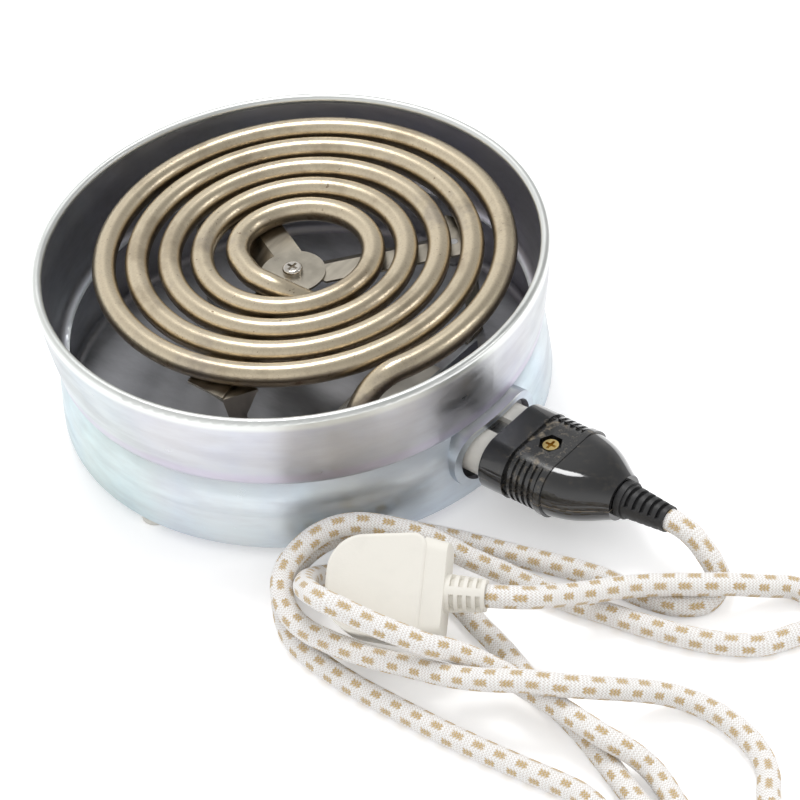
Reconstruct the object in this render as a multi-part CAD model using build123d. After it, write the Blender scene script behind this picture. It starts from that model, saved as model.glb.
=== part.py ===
import os
from math import cos, pi, radians, sin, sqrt, tan
from build123d import *

os.makedirs("parts", exist_ok=True)

# Driving dimensions of the stove, in millimetres.
# Origin: on the table under the centre of the drum. +Z is up and +X points out of the power inlet.
rim_r = 100.0           # outside radius over the rolled rim
stove_h = 71.3          # table to the top of the rim
sheet = 0.8             # sheet of the drum and its base
foot_h = 3.0            # height of the foot pads
gap = 0.3               # air between parts that lie side by side
snug = 0.05             # air between faces that almost touch
fit = 0.1               # radial clearance of a fixed pin or screw in its hole
slide_fit = 0.35        # clearance of the plug-in connector in the inlet
overrun = 5.0           # how far a cutting tool runs past what it cuts

# Drum profile: outer wall, as radius and height above the table
bead_r = 1.85           # half the thickness of the rolled rim
collar_mid_r, collar_mid_z = 97.7, 50.0
collar_foot_r, collar_foot_z = 95.5, 38.3
lip_mid_r, lip_mid_z = 94.3, 35.6
crease_r, crease_z = 91.0, 34.3
shoulder_mid_r, shoulder_mid_z = 94.2, 28.9
shoulder_r, shoulder_z = 95.8, 20.0
side_mid_r, side_mid_z = 96.3, 13.5
side_r, corner_r = 96.5, 4.0
hem_w = 14.5            # width of the bottom hem that holds the base plate
hem_r = side_r - hem_w

# Feet and their rivets
foot_count = 4
foot_r = 5.5
foot_place_in = 7.3     # from the wall in to the middle of a foot
foot_place_r = side_r - foot_place_in
foot_first_angle = -91.0
foot_edge = 0.6
rivet_r = 1.6
rivet_head_r, rivet_head_h = 3.0, 1.2
rivet_sink = 1.5        # depth of the rivet's lower head inside the foot pad

# Heating coil: a round tube wound flat, then bent down at both ends
coil_tube_r = 4.65
coil_down = 7.3         # from the top of the rim to the tube's centreline
coil_z = stove_h - coil_down
coil_pitch = 12.75      # from one turn to the next
coil_centre_x, coil_centre_y = -3.12, 6.10
coil_start_angle = -7.0
coil_start_r = 81.15
coil_quarters = 18
coil_end_turn_r, coil_end_turn_angle = 20.6, 72.0
outer_tail_turn_r, outer_tail_turn_angle = 70.0, 16.0
outer_tail_bend_r = 20.0
outer_tail_drop = 32.0  # from the turns down to the outer end of the tube
seal_r, seal_len = 4.1, 5.0
stud_r, stud_len = 1.6, 8.0

# Inner end of the coil, from its last turn down under the other turns: plan and drop below the turns
inner_tail_run_in = 9.0
inner_tail = (
    (2.5, -14.3, 0),
    (11.5, -10.2, 4.7),
    (20.5, -5.0, 10.0),
    (33.0, -1.0, 10.8),
    (43.0, 1.0, 11.0),
)

# Bracket under the coil: three creased arms, three legs, two clamp plates and one screw
arm_angles = {"right": 51.0, "left": 154.5, "front": -77.0}
arm_top_z = coil_z - coil_tube_r - snug
arm_sheet = 1.0
arm_half_w = 8.5
arm_crease_off = 2.0
arm_drop = 3.7
arm_point_angle = 50.0
arm_point_r = 4.2
arm_flange_end_r = 57.0
arm_end_near_r, arm_end_far_r = 70.1, 74.2
arm_rivet_place_r = 63.5
ear_root_r, ear_tip_r, ear_tip_off = 57.5, 64.2, 18.3
ear_inner_r, ear_inner_off = 69.3, -5.0
leg_waist_w, leg_waist_drop, leg_waist_shift = 6.8, 11.3, 1.7
leg_tab_len, leg_rivet_back = 11.0, 6.5
clamp_r, under_clamp_r, clamp_t = 12.65, 9.0, 1.0
screw_r, screw_len = 2.0, 13.0
screw_head_r, screw_head_h, screw_head_round = 3.95, 2.7, 1.2
cross_w, cross_len, cross_deep = 1.1, 4.6, 1.4
nut_across, nut_h = 7.0, 3.2

# Power inlet behind the port in the wall
inlet_z = 22.0
port_half_w, port_half_h = 20.5, 10.4
lip_half_w, lip_half_h = 24.0, 13.0
lip_reach = 98.4
block_x0, block_x1 = 50.0, 66.0
block_half_w, block_half_h = 17.0, 9.0
block_flange_half_w, block_flange_half_h, block_flange_t = 23.5, 11.5, 3.0
nose_half_w, nose_half_h, nose_len = 15.0, 7.0, 6.0
pin_r, pin_pitch, pin_x0, pin_tip_x = 3.0, 19.0, 43.0, 97.0
pin_tip_round = 1.5
pin_nut_across, pin_nut_h = 9.0, 3.0
plate_t, plate_half_w, plate_top_z, plate_foot_len = 1.2, 27.0, 38.0, 12.0
plate_screw_r, plate_screw_head_r, plate_screw_head_h, plate_screw_off = 1.2, 2.2, 1.4, 20.4
plate_nut_h = 1.8
plate_foot_screw_off = 20.0
earth_w, earth_t, earth_off, earth_tip_x = 6.0, 0.8, -1.0, 93.0

# Leads inside the drum, from the coil's terminals to the pins
lead_r = 1.5
lead_end_run = 7.0      # straight run at each end of a lead
outer_lead = (
    (54.0, -41.0, 9.5),
    (42.0, -33.0, 9.0),
    (31.0, -22.0, 14.0),
)
inner_lead = (
    (62.0, 11.0, 46.0),
    (52.0, 18.0, 40.0),
    (39.0, 18.5, 33.0),
    (31.0, 13.5, 26.5),
)

# Connector on the cord: places along X, with half widths and half heights of its slot-shaped sections
insert_x0, insert_x1 = 76.0, 118.0
insert_half_w, insert_half_h = 17.6, 9.0
groove_w, groove_deep = 8.6, 2.5
strip_w, strip_t, strip_x0 = 7.6, 0.5, 79.0
sleeve_wall, sleeve_x0, sleeve_len = 0.7, 77.5, 32.0
hood_x0, hood_x1, hood_half_w, hood_half_h = 103.6, 115.0, 20.8, 11.4
neck_half_w, neck_half_h = 18.9, 10.4
grip_x0, grip_x1, grip_half_w, grip_half_h = 116.6, 130.4, 19.5, 10.7
ridge_x1, ridge_half_w, ridge_half_h = 133.2, 21.2, 11.7
tail_stations = (
    (133.2, 20.2, 11.4),
    (139.5, 18.7, 11.2),
    (146.0, 16.0, 10.6),
    (152.0, 12.3, 9.5),
    (157.0, 9.4, 8.5),
)
hood_edge = 1.0
rib_count, rib_w, rib_out, rib_clear_w = 5, 1.2, 0.9, 12.5
core_r = 1.4
rear_cavity_x0, rear_cavity_x1, rear_cavity_half_w, rear_cavity_half_h = 128.0, 146.0, 12.0, 6.0
shell_screw_x, shell_screw_r, shell_screw_head_r, shell_screw_head_h = 123.4, 1.6, 3.1, 1.9
recess_across, recess_deep = 8.4, 2.6
shell_nut_across, shell_nut_h, shell_nut_deep = 5.6, 2.2, 3.0

# Boot behind the connector
boot_x0, boot_x1 = 150.0, 178.0
boot_root_r, boot_collar_r, boot_collar_x0, boot_collar_x1 = 5.0, 7.4, 157.2, 160.0
boot_r0, boot_r1 = 6.7, 5.1
boot_slot_count, boot_slot_w, boot_slot_deep, boot_bridge = 5, 1.6, 1.4, 2.4

# Mains plug: flat body that leans on its edge and its blades, with a ribbed strain relief
plug_azimuth, plug_roll = 28.5, 36.0
plug_root_x, plug_root_y = 134.3, -82.3
plug_front, plug_ridge, plug_rear = -39.5, -3.5, 3.8
plug_front_half_w, plug_ridge_half_w, plug_rear_half_w = 17.0, 20.5, 18.0
plug_front_round, plug_ridge_round, plug_rear_round = 14.0, 5.0, 5.0
plug_t, plug_rear_t, plug_shoulder, plug_edge = 21.0, 15.0, 1.0, 1.5
relief_len, relief_r0, relief_r1 = 14.7, 7.2, 6.0
relief_slots, relief_slot_w, relief_slot_deep, relief_bridge = 4, 1.8, 1.5, 1.5
blade_len, blade_root, blade_w, blade_t = 16.0, 6.0, 6.3, 1.6
live_place, live_off, live_angle = -28.0, 6.9, 30.0
ground_place = -11.0
table_gap = 0.2

# Mains cord: points of its route from the boot to the plug, where it lies on the table and over itself
cord_r = 4.35
cord_end_run = 12.0     # straight run out of the plug's strain relief
cord_route = (
    (187, 0, 22), (198.5, -1.5, 12.5), (203, -3, 6.5), (205, -13, 4.4), (199, -19.5, 4.4),
    (190, -23, 4.4), (176.5, -24.5, 4.4), (161, -24.5, 4.4), (131, -32.5, 4.4), (116, -37, 5),
    (103.5, -44.5, 9), (91, -52.5, 12.5), (80, -61.5, 14.5), (72, -72.5, 14), (67, -82, 9),
    (65.5, -91.5, 4.4), (75, -103.5, 4.4), (89, -114.5, 4.4), (104, -118, 4.4), (123.5, -120, 4.4),
    (145.5, -120, 4.4), (171, -119.7, 4.4), (197.5, -118, 4.4), (217, -116, 4.4), (227.5, -116, 4.4),
    (242, -121.3, 4.4), (258, -129, 4.4), (273, -137, 4.4), (288, -146, 4.4), (303, -148, 4.4),
    (313.5, -139, 4.4), (310.5, -126, 4.4), (297, -121, 4.4), (279, -121.5, 4.4), (253, -112.4, 4.4),
    (226.5, -100.5, 4.4), (206.5, -91.5, 4.4), (187.5, -85.5, 4.4), (172, -81, 4.4), (155, -74, 4.4),
    (141.5, -70, 4.4), (124, -63, 4.4), (109.5, -64, 4.4), (96.5, -69, 4.4), (83.5, -76.5, 4.4),
    (76, -84.5, 5.5), (81.5, -95, 15), (89, -103.5, 24), (97.5, -112.5, 33.5), (111, -118, 39.5),
    (118.5, -116.5, 38), (126, -114, 35), (133.5, -112, 33), (141, -109, 30.5), (149, -106, 27.5),
    (154, -99.5, 23), (161, -95, 18.5), (170.5, -91, 13.6), (184, -92, 13.4), (197.5, -94, 14.3),
    (210, -95.5, 14.6), (221, -96.5, 14), (231, -94, 10.5), (241, -93.5, 5), (254.5, -101, 4.4),
    (269, -108, 4.4), (286, -111.5, 4.4), (301, -108, 4.4), (305, -96.5, 4.4), (296.5, -88.5, 4.4),
    (281.5, -84.5, 4.4), (273, -70, 4.4), (257.5, -60.5, 4.4), (237.5, -56.5, 4.4), (222, -60.5, 6.5),
    (213.5, -71.5, 13), (206.5, -83.5, 20), (198, -92, 23.5), (186.5, -97, 23.5), (175.5, -103, 22.3),
    (158.5, -106, 17.2), (142, -108.5, 15.2), (127, -113.5, 15.8), (112, -115.5, 15.5),
    (96, -115.5, 14.5), (82.5, -110, 14.8), (73.5, -100.5, 17.5), (72.5, -89, 21), (75.5, -77, 23.5),
    (84, -67.5, 24.5), (97, -61, 23), (108.5, -54, 18.5), (121, -49.7, 11.6), (133, -44, 6),
    (146.5, -42.5, 4.4), (161, -41.5, 4.4), (174.5, -39, 4.4), (190.5, -36.5, 4.4), (206.5, -33, 4.4),
    (220, -28.5, 4.4), (233, -21.5, 4.4), (238, -14, 4.4), (244.5, -2.5, 4.4), (239, 9, 4.4),
    (227, 11.5, 5), (218.5, 1.5, 8.5), (212, -7, 12.8), (203, -15, 14.2), (191.5, -22.5, 14.2),
    (180.5, -32, 14.5), (172, -44, 16.5), (165.5, -56.5, 21),
)


def unit(angle):
    """Level direction at an angle in radians."""
    return Vector(cos(angle), sin(angle), 0)


def save(name, *solids):
    """Write one node; several solids stay separate solids of that node."""
    shape = solids[0] if len(solids) == 1 else Compound(children=list(solids))
    shape.label = name
    export_step(shape, f"parts/{name}.step")


def rod(radius, start, end):
    """Round bar between two points."""
    line = Vector(*end) - Vector(*start)
    return extrude(Plane(origin=start, z_dir=line) * Circle(radius), line.length)


def prism(points, low, high):
    """Flat outline in plan, from one height to another."""
    return extrude(Plane.XY.offset(low) * make_face(Polyline(*points, close=True)), high - low)


def slab(x, y, z):
    """Box between two values on each axis."""
    return Pos(sum(x) / 2, sum(y) / 2, sum(z) / 2) * Box(x[1] - x[0], y[1] - y[0], z[1] - z[0])


def slot_face(x, half_w, half_h):
    """Slot-shaped section across X at the height of the inlet."""
    plane = Plane(origin=(x, 0, inlet_z), x_dir=(0, 1, 0), z_dir=(1, 0, 0))
    return plane * SlotOverall(2 * half_w, 2 * half_h)


def slot_bar(x0, x1, half_w, half_h):
    """Bar along X with a slot-shaped section."""
    return extrude(slot_face(x0, half_w, half_h), x1 - x0)


def hex_bar(across, start, end):
    """Six-sided bar between two points, for nuts and recesses."""
    line = Vector(*end) - Vector(*start)
    outline = RegularPolygon(across / 2, 6, major_radius=False)
    return extrude(Plane(origin=start, z_dir=line) * outline, line.length)


def corner_radii(points, share=0.45):
    """Largest arc that fits each corner of a route, as a share of its shorter run."""
    radii = []
    for before, here, after in zip(points, points[1:], points[2:]):
        first = Vector(*here) - Vector(*before)
        second = Vector(*after) - Vector(*here)
        half_turn = radians(first.get_angle(second)) / 2
        radii.append(share * min(first.length, second.length) / tan(half_turn))
    return radii


def tube(points, radius):
    """Round tube along straight runs that tangent arcs join."""
    path = FilletPolyline(*points, radius=corner_radii(points))
    profile = Plane(origin=path @ 0, z_dir=path % 0) * Circle(radius)
    return sweep(profile, path=path), path


def stretch(*points):
    return Line(*points) if len(points) == 2 else ThreePointArc(*points)


def turned(stretches):
    """Solid of revolution about Z from a closed run of lines and arcs."""
    edges = [stretch(*[(r, 0, z) for r, z in points]) for points in stretches]
    return revolve(make_face(edges), Axis.Z)


def inside(r, z):
    """A point of the outer wall, moved in by the sheet."""
    return r - sheet, z


def drum_wall_profile():
    """Closed profile of the drum wall with its rolled rim and bottom hem."""
    bead_z = stove_h - bead_r
    bead_dip = sqrt(bead_r**2 - (bead_r - sheet) ** 2)
    corner_z = foot_h + corner_r
    slant = corner_r * sin(radians(45))
    inner_slant = (corner_r - sheet) * sin(radians(45))
    lip_shift = sheet * sin(radians(45))
    centre_r = side_r - corner_r
    rim_out = (rim_r, bead_z)
    rim_in = (rim_r - sheet, bead_z - bead_dip)
    collar_mid = (collar_mid_r, collar_mid_z)
    collar_foot = (collar_foot_r, collar_foot_z)
    lip_mid = (lip_mid_r, lip_mid_z)
    crease = (crease_r, crease_z)
    crease_in = (crease_r - sheet, crease_z)
    crease_top = (crease_r - sheet, crease_z + sheet)
    shoulder_mid = (shoulder_mid_r, shoulder_mid_z)
    shoulder = (shoulder_r, shoulder_z)
    side_mid = (side_mid_r, side_mid_z)
    side = (side_r, corner_z)
    hem_top = foot_h + sheet
    return [
        (rim_out, (rim_r - 2 * bead_r, bead_z), rim_in),
        (rim_in, inside(*collar_mid), inside(*collar_foot)),
        (inside(*collar_foot), (lip_mid_r - lip_shift, lip_mid_z + lip_shift), crease_top),
        (crease_top, crease_in),
        (crease_in, inside(*shoulder_mid), inside(*shoulder)),
        (inside(*shoulder), inside(*side_mid), inside(*side)),
        (inside(*side), (centre_r + inner_slant, corner_z - inner_slant), (centre_r, hem_top)),
        ((centre_r, hem_top), (hem_r, hem_top)),
        ((hem_r, hem_top), (hem_r, foot_h)),
        ((hem_r, foot_h), (centre_r, foot_h)),
        ((centre_r, foot_h), (centre_r + slant, corner_z - slant), side),
        (side, side_mid, shoulder),
        (shoulder, shoulder_mid, crease),
        (crease, lip_mid, collar_foot),
        (collar_foot, collar_mid, rim_out),
    ]


def drum_core_profile():
    """The air inside the wall, used to trim the lip that is joined to the wall."""
    mouth = stove_h + overrun
    side_in = inside(side_r, foot_h + corner_r)
    shoulder_in = inside(shoulder_r, shoulder_z)
    crease_in = inside(crease_r, crease_z)
    collar_in = inside(collar_foot_r, collar_foot_z)
    rim_in = inside(rim_r, stove_h)
    return [
        ((0, foot_h), (side_r - sheet, foot_h)),
        ((side_r - sheet, foot_h), side_in),
        (side_in, inside(side_mid_r, side_mid_z), shoulder_in),
        (shoulder_in, inside(shoulder_mid_r, shoulder_mid_z), crease_in),
        (crease_in, collar_in),
        (collar_in, rim_in),
        (rim_in, (rim_r - sheet, mouth)),
        ((rim_r - sheet, mouth), (0, mouth)),
        ((0, mouth), (0, foot_h)),
    ]


def foot_places():
    step = 360 / foot_count
    return [foot_place_r * unit(radians(foot_first_angle + step * k)) for k in range(foot_count)]


def upright(place, low, high, radius):
    """Vertical round bar at a place in plan."""
    return rod(radius, (place.X, place.Y, low), (place.X, place.Y, high))


def make_drum():
    """Rolled wall of the drum with the raised lip round the inlet port."""
    lip = slot_bar(block_x1, rim_r, lip_half_w, lip_half_h) & extrude(Circle(lip_reach), stove_h)
    lip -= turned(drum_core_profile())
    port = slot_bar(block_x1, rim_r + overrun, port_half_w, port_half_h)
    drum = turned(drum_wall_profile()) + lip - port
    for place in foot_places():
        drum -= upright(place, 0, foot_h + overrun, rivet_r + fit)
    return drum


def make_base_plate():
    """Round plate that rests on the hem, with holes for every rivet and screw."""
    low, high = foot_h + sheet, foot_h + 2 * sheet
    plate = Pos(0, 0, low) * extrude(Circle(side_r - corner_r - gap), sheet)
    for place in foot_places() + [leg_rivet_place(angle) for angle in arm_angles.values()]:
        plate -= upright(place, 0, high + overrun, rivet_r + fit)
    for place in plate_foot_screws():
        plate -= upright(place, 0, high + overrun, plate_screw_r + fit)
    return plate


def make_feet():
    """Foot pads with a round lower edge, and the rivets that hold them."""
    feet, rivets = [], []
    plate_top = foot_h + 2 * sheet
    for place in foot_places():
        pad = upright(place, 0, foot_h, foot_r)
        pad = fillet(pad.faces().sort_by(Axis.Z)[0].edges(), foot_edge)
        pad -= upright(place, 0, rivet_sink, rivet_head_r + fit)
        pad -= upright(place, 0, foot_h + overrun, rivet_r + fit)
        rivet = upright(place, rivet_sink - rivet_head_h, plate_top + rivet_head_h, rivet_r)
        rivet += upright(place, rivet_sink - rivet_head_h, rivet_sink, rivet_head_r)
        rivet += upright(place, plate_top, plate_top + rivet_head_h, rivet_head_r)
        feet.append(pad)
        rivets.append(rivet)
    return feet, rivets


def arc_about(centre, radius, start, swing):
    """Level arc by its centre, radius, first angle and turn."""
    return ThreePointArc(*[centre + radius * unit(start + swing * share) for share in (0, 1 / 2, 1)])


def reversed_arc(arc):
    return ThreePointArc(arc @ 1, arc @ (1 / 2), arc @ 0)


def coil_turns():
    """Flat spiral of quarter turns whose radius steps down by a quarter of the pitch."""
    step = coil_pitch / 4
    quarter = radians(90)
    angle = radians(coil_start_angle)
    middle = Vector(coil_centre_x, coil_centre_y, coil_z)
    centre = middle - step / 2 * (unit(angle + quarter) + unit(angle + 2 * quarter))
    radius = coil_start_r
    turns = []
    for _ in range(coil_quarters):
        turns.append(arc_about(centre, radius, angle, quarter))
        angle += quarter
        centre += step * unit(angle)
        radius -= step
    centre = turns[-1] @ 1 - coil_end_turn_r * unit(angle)
    turns.append(arc_about(centre, coil_end_turn_r, angle, radians(coil_end_turn_angle)))
    return turns


def outer_tail(start):
    """From the outer terminal up, over a bend and level into the first turn."""
    angle = radians(coil_start_angle)
    turn = radians(outer_tail_turn_angle)
    level = arc_about(start - outer_tail_turn_r * unit(angle), outer_tail_turn_r, angle, -turn)
    knee = level @ 1
    way = unit(angle - radians(90) - turn)
    drop = Vector(0, 0, -outer_tail_bend_r)
    slope = sin(radians(45))
    middle = knee + outer_tail_bend_r * slope * way + (1 - slope) * drop
    bottom = knee + outer_tail_bend_r * way + drop
    end = Vector(bottom.X, bottom.Y, knee.Z - outer_tail_drop)
    return [Line(end, bottom), ThreePointArc(bottom, middle, knee), reversed_arc(level)]


def inner_tail_run(turns):
    start, way = turns[-1] @ 1, turns[-1] % 1
    points = [start, start + inner_tail_run_in * way]
    points += [Vector(x, y, coil_z - drop) for x, y, drop in inner_tail]
    return FilletPolyline(*points, radius=corner_radii(points))


def swept(curves, radius):
    """Round tube along curves that follow on from each other."""
    wire = Wire([edge for curve in curves for edge in curve.edges()])
    return sweep(Plane(origin=wire @ 0, z_dir=wire % 0) * Circle(radius), path=wire), wire


def coil_gap(wire):
    """Least air between stretches of the coil, on points along its centreline."""
    count = 900
    points = [wire @ (k / count) for k in range(count + 1)]
    step = wire.length / count
    near = int(4 * coil_tube_r / step)
    least = min((points[i] - points[j]).length
                for i in range(0, count + 1, 2) for j in range(i + near, count + 1, 2))
    return least - 2 * coil_tube_r


def make_coil():
    """Heating tube with its end seals and threaded terminals."""
    turns = coil_turns()
    curves = outer_tail(turns[0] @ 0) + turns + [inner_tail_run(turns)]
    coil, wire = swept(curves, coil_tube_r)
    print("coil length", round(wire.length, 1), "least gap", round(coil_gap(wire), 2))
    ends = [(wire @ 0, wire % 0 * -1), (wire @ 1, wire % 1)]
    seals = [rod(seal_r, end, end + seal_len * way) for end, way in ends]
    studs = [rod(stud_r, end + seal_len * way, end + (seal_len + stud_len) * way) for end, way in ends]
    tips = [(end + (seal_len + stud_len) * way, way) for end, way in ends]
    return coil, seals, studs, tips


def tail_room():
    """Space round the coil's inner end that the bracket is cut back from."""
    turns = coil_turns()
    room, _ = swept([turns[-1], inner_tail_run(turns)], coil_tube_r + gap)
    return room


def make_arm():
    """One arm drawn along +X: a flat strip whose left third slopes down from a crease."""
    slope = tan(radians(arm_point_angle))
    flange_at = arm_point_r + arm_half_w / slope
    plan = [
        (arm_point_r, 0),
        (flange_at, -arm_half_w),
        (arm_end_near_r, -arm_half_w),
        (arm_end_far_r, arm_half_w),
        (arm_flange_end_r, arm_half_w),
        (arm_flange_end_r, arm_crease_off),
        (arm_point_r + arm_crease_off / slope, arm_crease_off),
    ]
    section = [
        (flange_at, arm_crease_off, arm_top_z),
        (flange_at, arm_half_w, arm_top_z - arm_drop),
        (flange_at, arm_half_w, arm_top_z - arm_drop - arm_sheet),
        (flange_at, arm_crease_off, arm_top_z - arm_sheet),
    ]
    flange = extrude(make_face(Polyline(*section, close=True)), arm_flange_end_r - flange_at, dir=(1, 0, 0))
    arm = prism(plan, arm_top_z - arm_sheet, arm_top_z) + flange
    return arm - rod(rivet_r + fit, (arm_rivet_place_r, 0, 0), (arm_rivet_place_r, 0, stove_h))


def leg_plane():
    """Upright plane of a leg, through the end corner of its arm and the tip of its ear."""
    along = Vector(ear_tip_r - arm_end_far_r, ear_tip_off - arm_half_w, 0)
    out = along.cross(Vector(0, 0, 1))
    return Plane(origin=(arm_end_far_r, arm_half_w, 0), x_dir=along, z_dir=out), along.length


def make_leg():
    """One leg drawn for an arm along +X: ear under the arm, tapered upright and foot tab."""
    plane, top_w = leg_plane()
    top = arm_top_z - arm_sheet
    base = foot_h + 2 * sheet
    ear = prism([
        (ear_root_r, ear_inner_off),
        (ear_inner_r, ear_inner_off),
        (arm_end_far_r, arm_half_w),
        (ear_tip_r, ear_tip_off),
        (ear_root_r, arm_half_w),
    ], top - arm_sheet, top)
    left, right = leg_waist_shift, leg_waist_shift + leg_waist_w
    waist_z = arm_top_z - leg_waist_drop
    upright_plan = Polyline((0, top), (top_w, top), (right, waist_z), (right, base),
                            (left, base), (left, waist_z), close=True)
    tab_plan = Polyline((left, base), (right, base), (right, base + arm_sheet),
                        (left, base + arm_sheet), close=True)
    leg = ear + extrude(plane * make_face(upright_plan), -arm_sheet)
    leg += extrude(plane * make_face(tab_plan), -leg_tab_len)
    leg -= rod(rivet_r + fit, (arm_rivet_place_r, 0, 0), (arm_rivet_place_r, 0, stove_h))
    spot = leg_rivet_spot()
    return leg - rod(rivet_r + fit, (spot.X, spot.Y, 0), (spot.X, spot.Y, base + overrun))


def leg_rivet_spot():
    """Middle of the foot tab, for an arm along +X."""
    plane, _ = leg_plane()
    return plane.from_local_coords(Vector(leg_waist_shift + leg_waist_w / 2, 0, -leg_rivet_back))


def leg_rivet_place(angle):
    spot = leg_rivet_spot()
    return spot.rotate(Axis.Z, angle)


def make_bracket_rivets():
    """Rivets that hold the legs to the arms and to the base plate."""
    rivets = []
    under = foot_h + sheet
    tab_top = foot_h + 2 * sheet + arm_sheet
    ear_low = arm_top_z - 2 * arm_sheet
    for angle in arm_angles.values():
        place = leg_rivet_place(angle)
        rivet = upright(place, under - rivet_head_h / 2, tab_top + rivet_head_h, rivet_r)
        rivet += upright(place, under - rivet_head_h / 2, under, rivet_head_r)
        rivets.append(rivet + upright(place, tab_top, tab_top + rivet_head_h, rivet_head_r))
        place = arm_rivet_place_r * unit(radians(angle))
        rivet = upright(place, ear_low - rivet_head_h, arm_top_z, rivet_r)
        rivets.append(rivet + upright(place, ear_low - rivet_head_h, ear_low, rivet_head_r))
    return rivets


def cross_recess(top):
    """Cross-shaped recess of a screw head, at the origin."""
    low = (top - cross_deep, top + overrun)
    half, half_len = (-cross_w / 2, cross_w / 2), (-cross_len / 2, cross_len / 2)
    return slab(half, half_len, low) + slab(half_len, half, low)


def make_clamp():
    """Round plates above and below the arms, with their screw and nut."""
    axis = Vector(0, 0, 0)
    top, under = arm_top_z, arm_top_z - arm_sheet
    hole = upright(axis, 0, stove_h, screw_r + fit)
    upper = upright(axis, top, top + clamp_t, clamp_r) - hole - tail_room()
    lower = upright(axis, under - clamp_t, under, under_clamp_r) - hole
    seat = top + clamp_t
    head = upright(axis, seat, seat + screw_head_h, screw_head_r)
    head = fillet(head.faces().sort_by(Axis.Z)[-1].edges(), screw_head_round)
    screw = head + upright(axis, seat - screw_len, seat, screw_r) - cross_recess(seat + screw_head_h)
    nut_top = under - clamp_t
    nut = hex_bar(nut_across, (0, 0, nut_top - nut_h), (0, 0, nut_top)) - hole
    return upper, lower, screw, nut


def plate_foot_screws():
    x = block_x1 - plate_foot_len / 2
    return [Vector(x, -plate_foot_screw_off, 0), Vector(x, plate_foot_screw_off, 0)]


def pin_places():
    return [-pin_pitch / 2, pin_pitch / 2]


def bore_pair(radius, x0, x1):
    """Two bars along X on the axes of the contact pins."""
    return [rod(radius, (x0, y, inlet_z), (x1, y, inlet_z)) for y in pin_places()]


def make_inlet():
    """Ceramic block with its pins and nuts, the steel plate that carries it, and their screws."""
    block = slot_bar(block_x0, block_x1, block_half_w, block_half_h)
    block += slot_bar(block_x1 - block_flange_t, block_x1, block_flange_half_w, block_flange_half_h)
    block += slot_bar(block_x1, block_x1 + plate_t + nose_len, nose_half_w, nose_half_h)
    base = foot_h + 2 * sheet
    across = (-plate_half_w, plate_half_w)
    plate = slab((block_x1, block_x1 + plate_t), across, (base, plate_top_z))
    plate += slab((block_x1 - plate_foot_len, block_x1 + plate_t), across, (base, base + plate_t))
    plate -= slot_bar(block_x1, block_x1 + overrun, nose_half_w + fit, nose_half_h + fit)
    screws, nuts = [], []
    face = block_x1 + plate_t
    back = block_x1 - block_flange_t
    for y in (-plate_screw_off, plate_screw_off):
        hole = rod(plate_screw_r + fit, (back - overrun, y, inlet_z), (face + overrun, y, inlet_z))
        block -= hole
        plate -= hole
        screw = rod(plate_screw_r, (back - plate_nut_h, y, inlet_z), (face, y, inlet_z))
        screws.append(screw + rod(plate_screw_head_r, (face, y, inlet_z), (face + plate_screw_head_h, y, inlet_z)))
        nut = rod(plate_screw_head_r, (back - plate_nut_h, y, inlet_z), (back, y, inlet_z))
        nuts.append(nut - hole)
    for place in plate_foot_screws():
        plate -= upright(place, 0, base + overrun, plate_screw_r + fit)
        high = base + plate_t
        screw = upright(place, base - sheet, high, plate_screw_r)
        screws.append(screw + upright(place, high, high + plate_screw_head_h, plate_screw_head_r))
    pins = []
    for bar, bore in zip(bore_pair(pin_r, pin_x0, pin_tip_x), bore_pair(pin_r + fit, block_x0, pin_tip_x)):
        block -= bore
        pins.append(fillet(bar.faces().sort_by(Axis.X)[-1].edges(), pin_tip_round))
    pin_nuts = []
    for y in pin_places():
        nut = hex_bar(pin_nut_across, (block_x0 - pin_nut_h, y, inlet_z), (block_x0, y, inlet_z))
        pin_nuts.append(nut - rod(pin_r + fit, (pin_x0, y, inlet_z), (pin_tip_x, y, inlet_z)))
    return block, plate, screws, nuts, pins, pin_nuts


def make_earth_tongue():
    """Spring strip on the plate that lies over the connector's earth strip."""
    low = inlet_z + insert_half_h - groove_deep + strip_t + slide_fit
    across = (earth_off - earth_w / 2, earth_off + earth_w / 2)
    face = block_x1 + plate_t
    tongue = slab((face, earth_tip_x), across, (low, low + earth_t))
    return tongue + slab((face, face + earth_t), across, (low, plate_top_z))


def make_leads(tips):
    """Insulated leads from the coil's terminals to the back ends of the pins."""
    leads = []
    for (tip, way), between, y in zip(tips, (outer_lead, inner_lead), pin_places()):
        start = [tip, tip + lead_end_run * way]
        end = [Vector(pin_x0 - lead_end_run, y, inlet_z), Vector(pin_x0, y, inlet_z)]
        leads.append(tube(start + [Vector(*point) for point in between] + end, lead_r)[0])
    return leads


def connector_outer():
    """Outer form of the two connector shells together."""
    hood = slot_bar(hood_x0, hood_x1, hood_half_w, hood_half_h)
    hood = fillet(hood.faces().sort_by(Axis.X)[0].edges(), hood_edge)
    form = hood + slot_bar(hood_x1, grip_x0, neck_half_w, neck_half_h)
    form += slot_bar(grip_x0, grip_x1, grip_half_w, grip_half_h)
    form += slot_bar(grip_x1, ridge_x1, ridge_half_w, ridge_half_h)
    form += loft([slot_face(*station) for station in tail_stations])
    pitch = (grip_x1 - grip_x0) / rib_count
    middle = slab((grip_x0, grip_x1), (-rib_clear_w, rib_clear_w), (0, stove_h))
    for k in range(rib_count):
        start = grip_x0 + pitch * k + (pitch - rib_w) / 2
        form += slot_bar(start, start + rib_w, grip_half_w + rib_out, grip_half_h + rib_out) - middle
    return form


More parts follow.
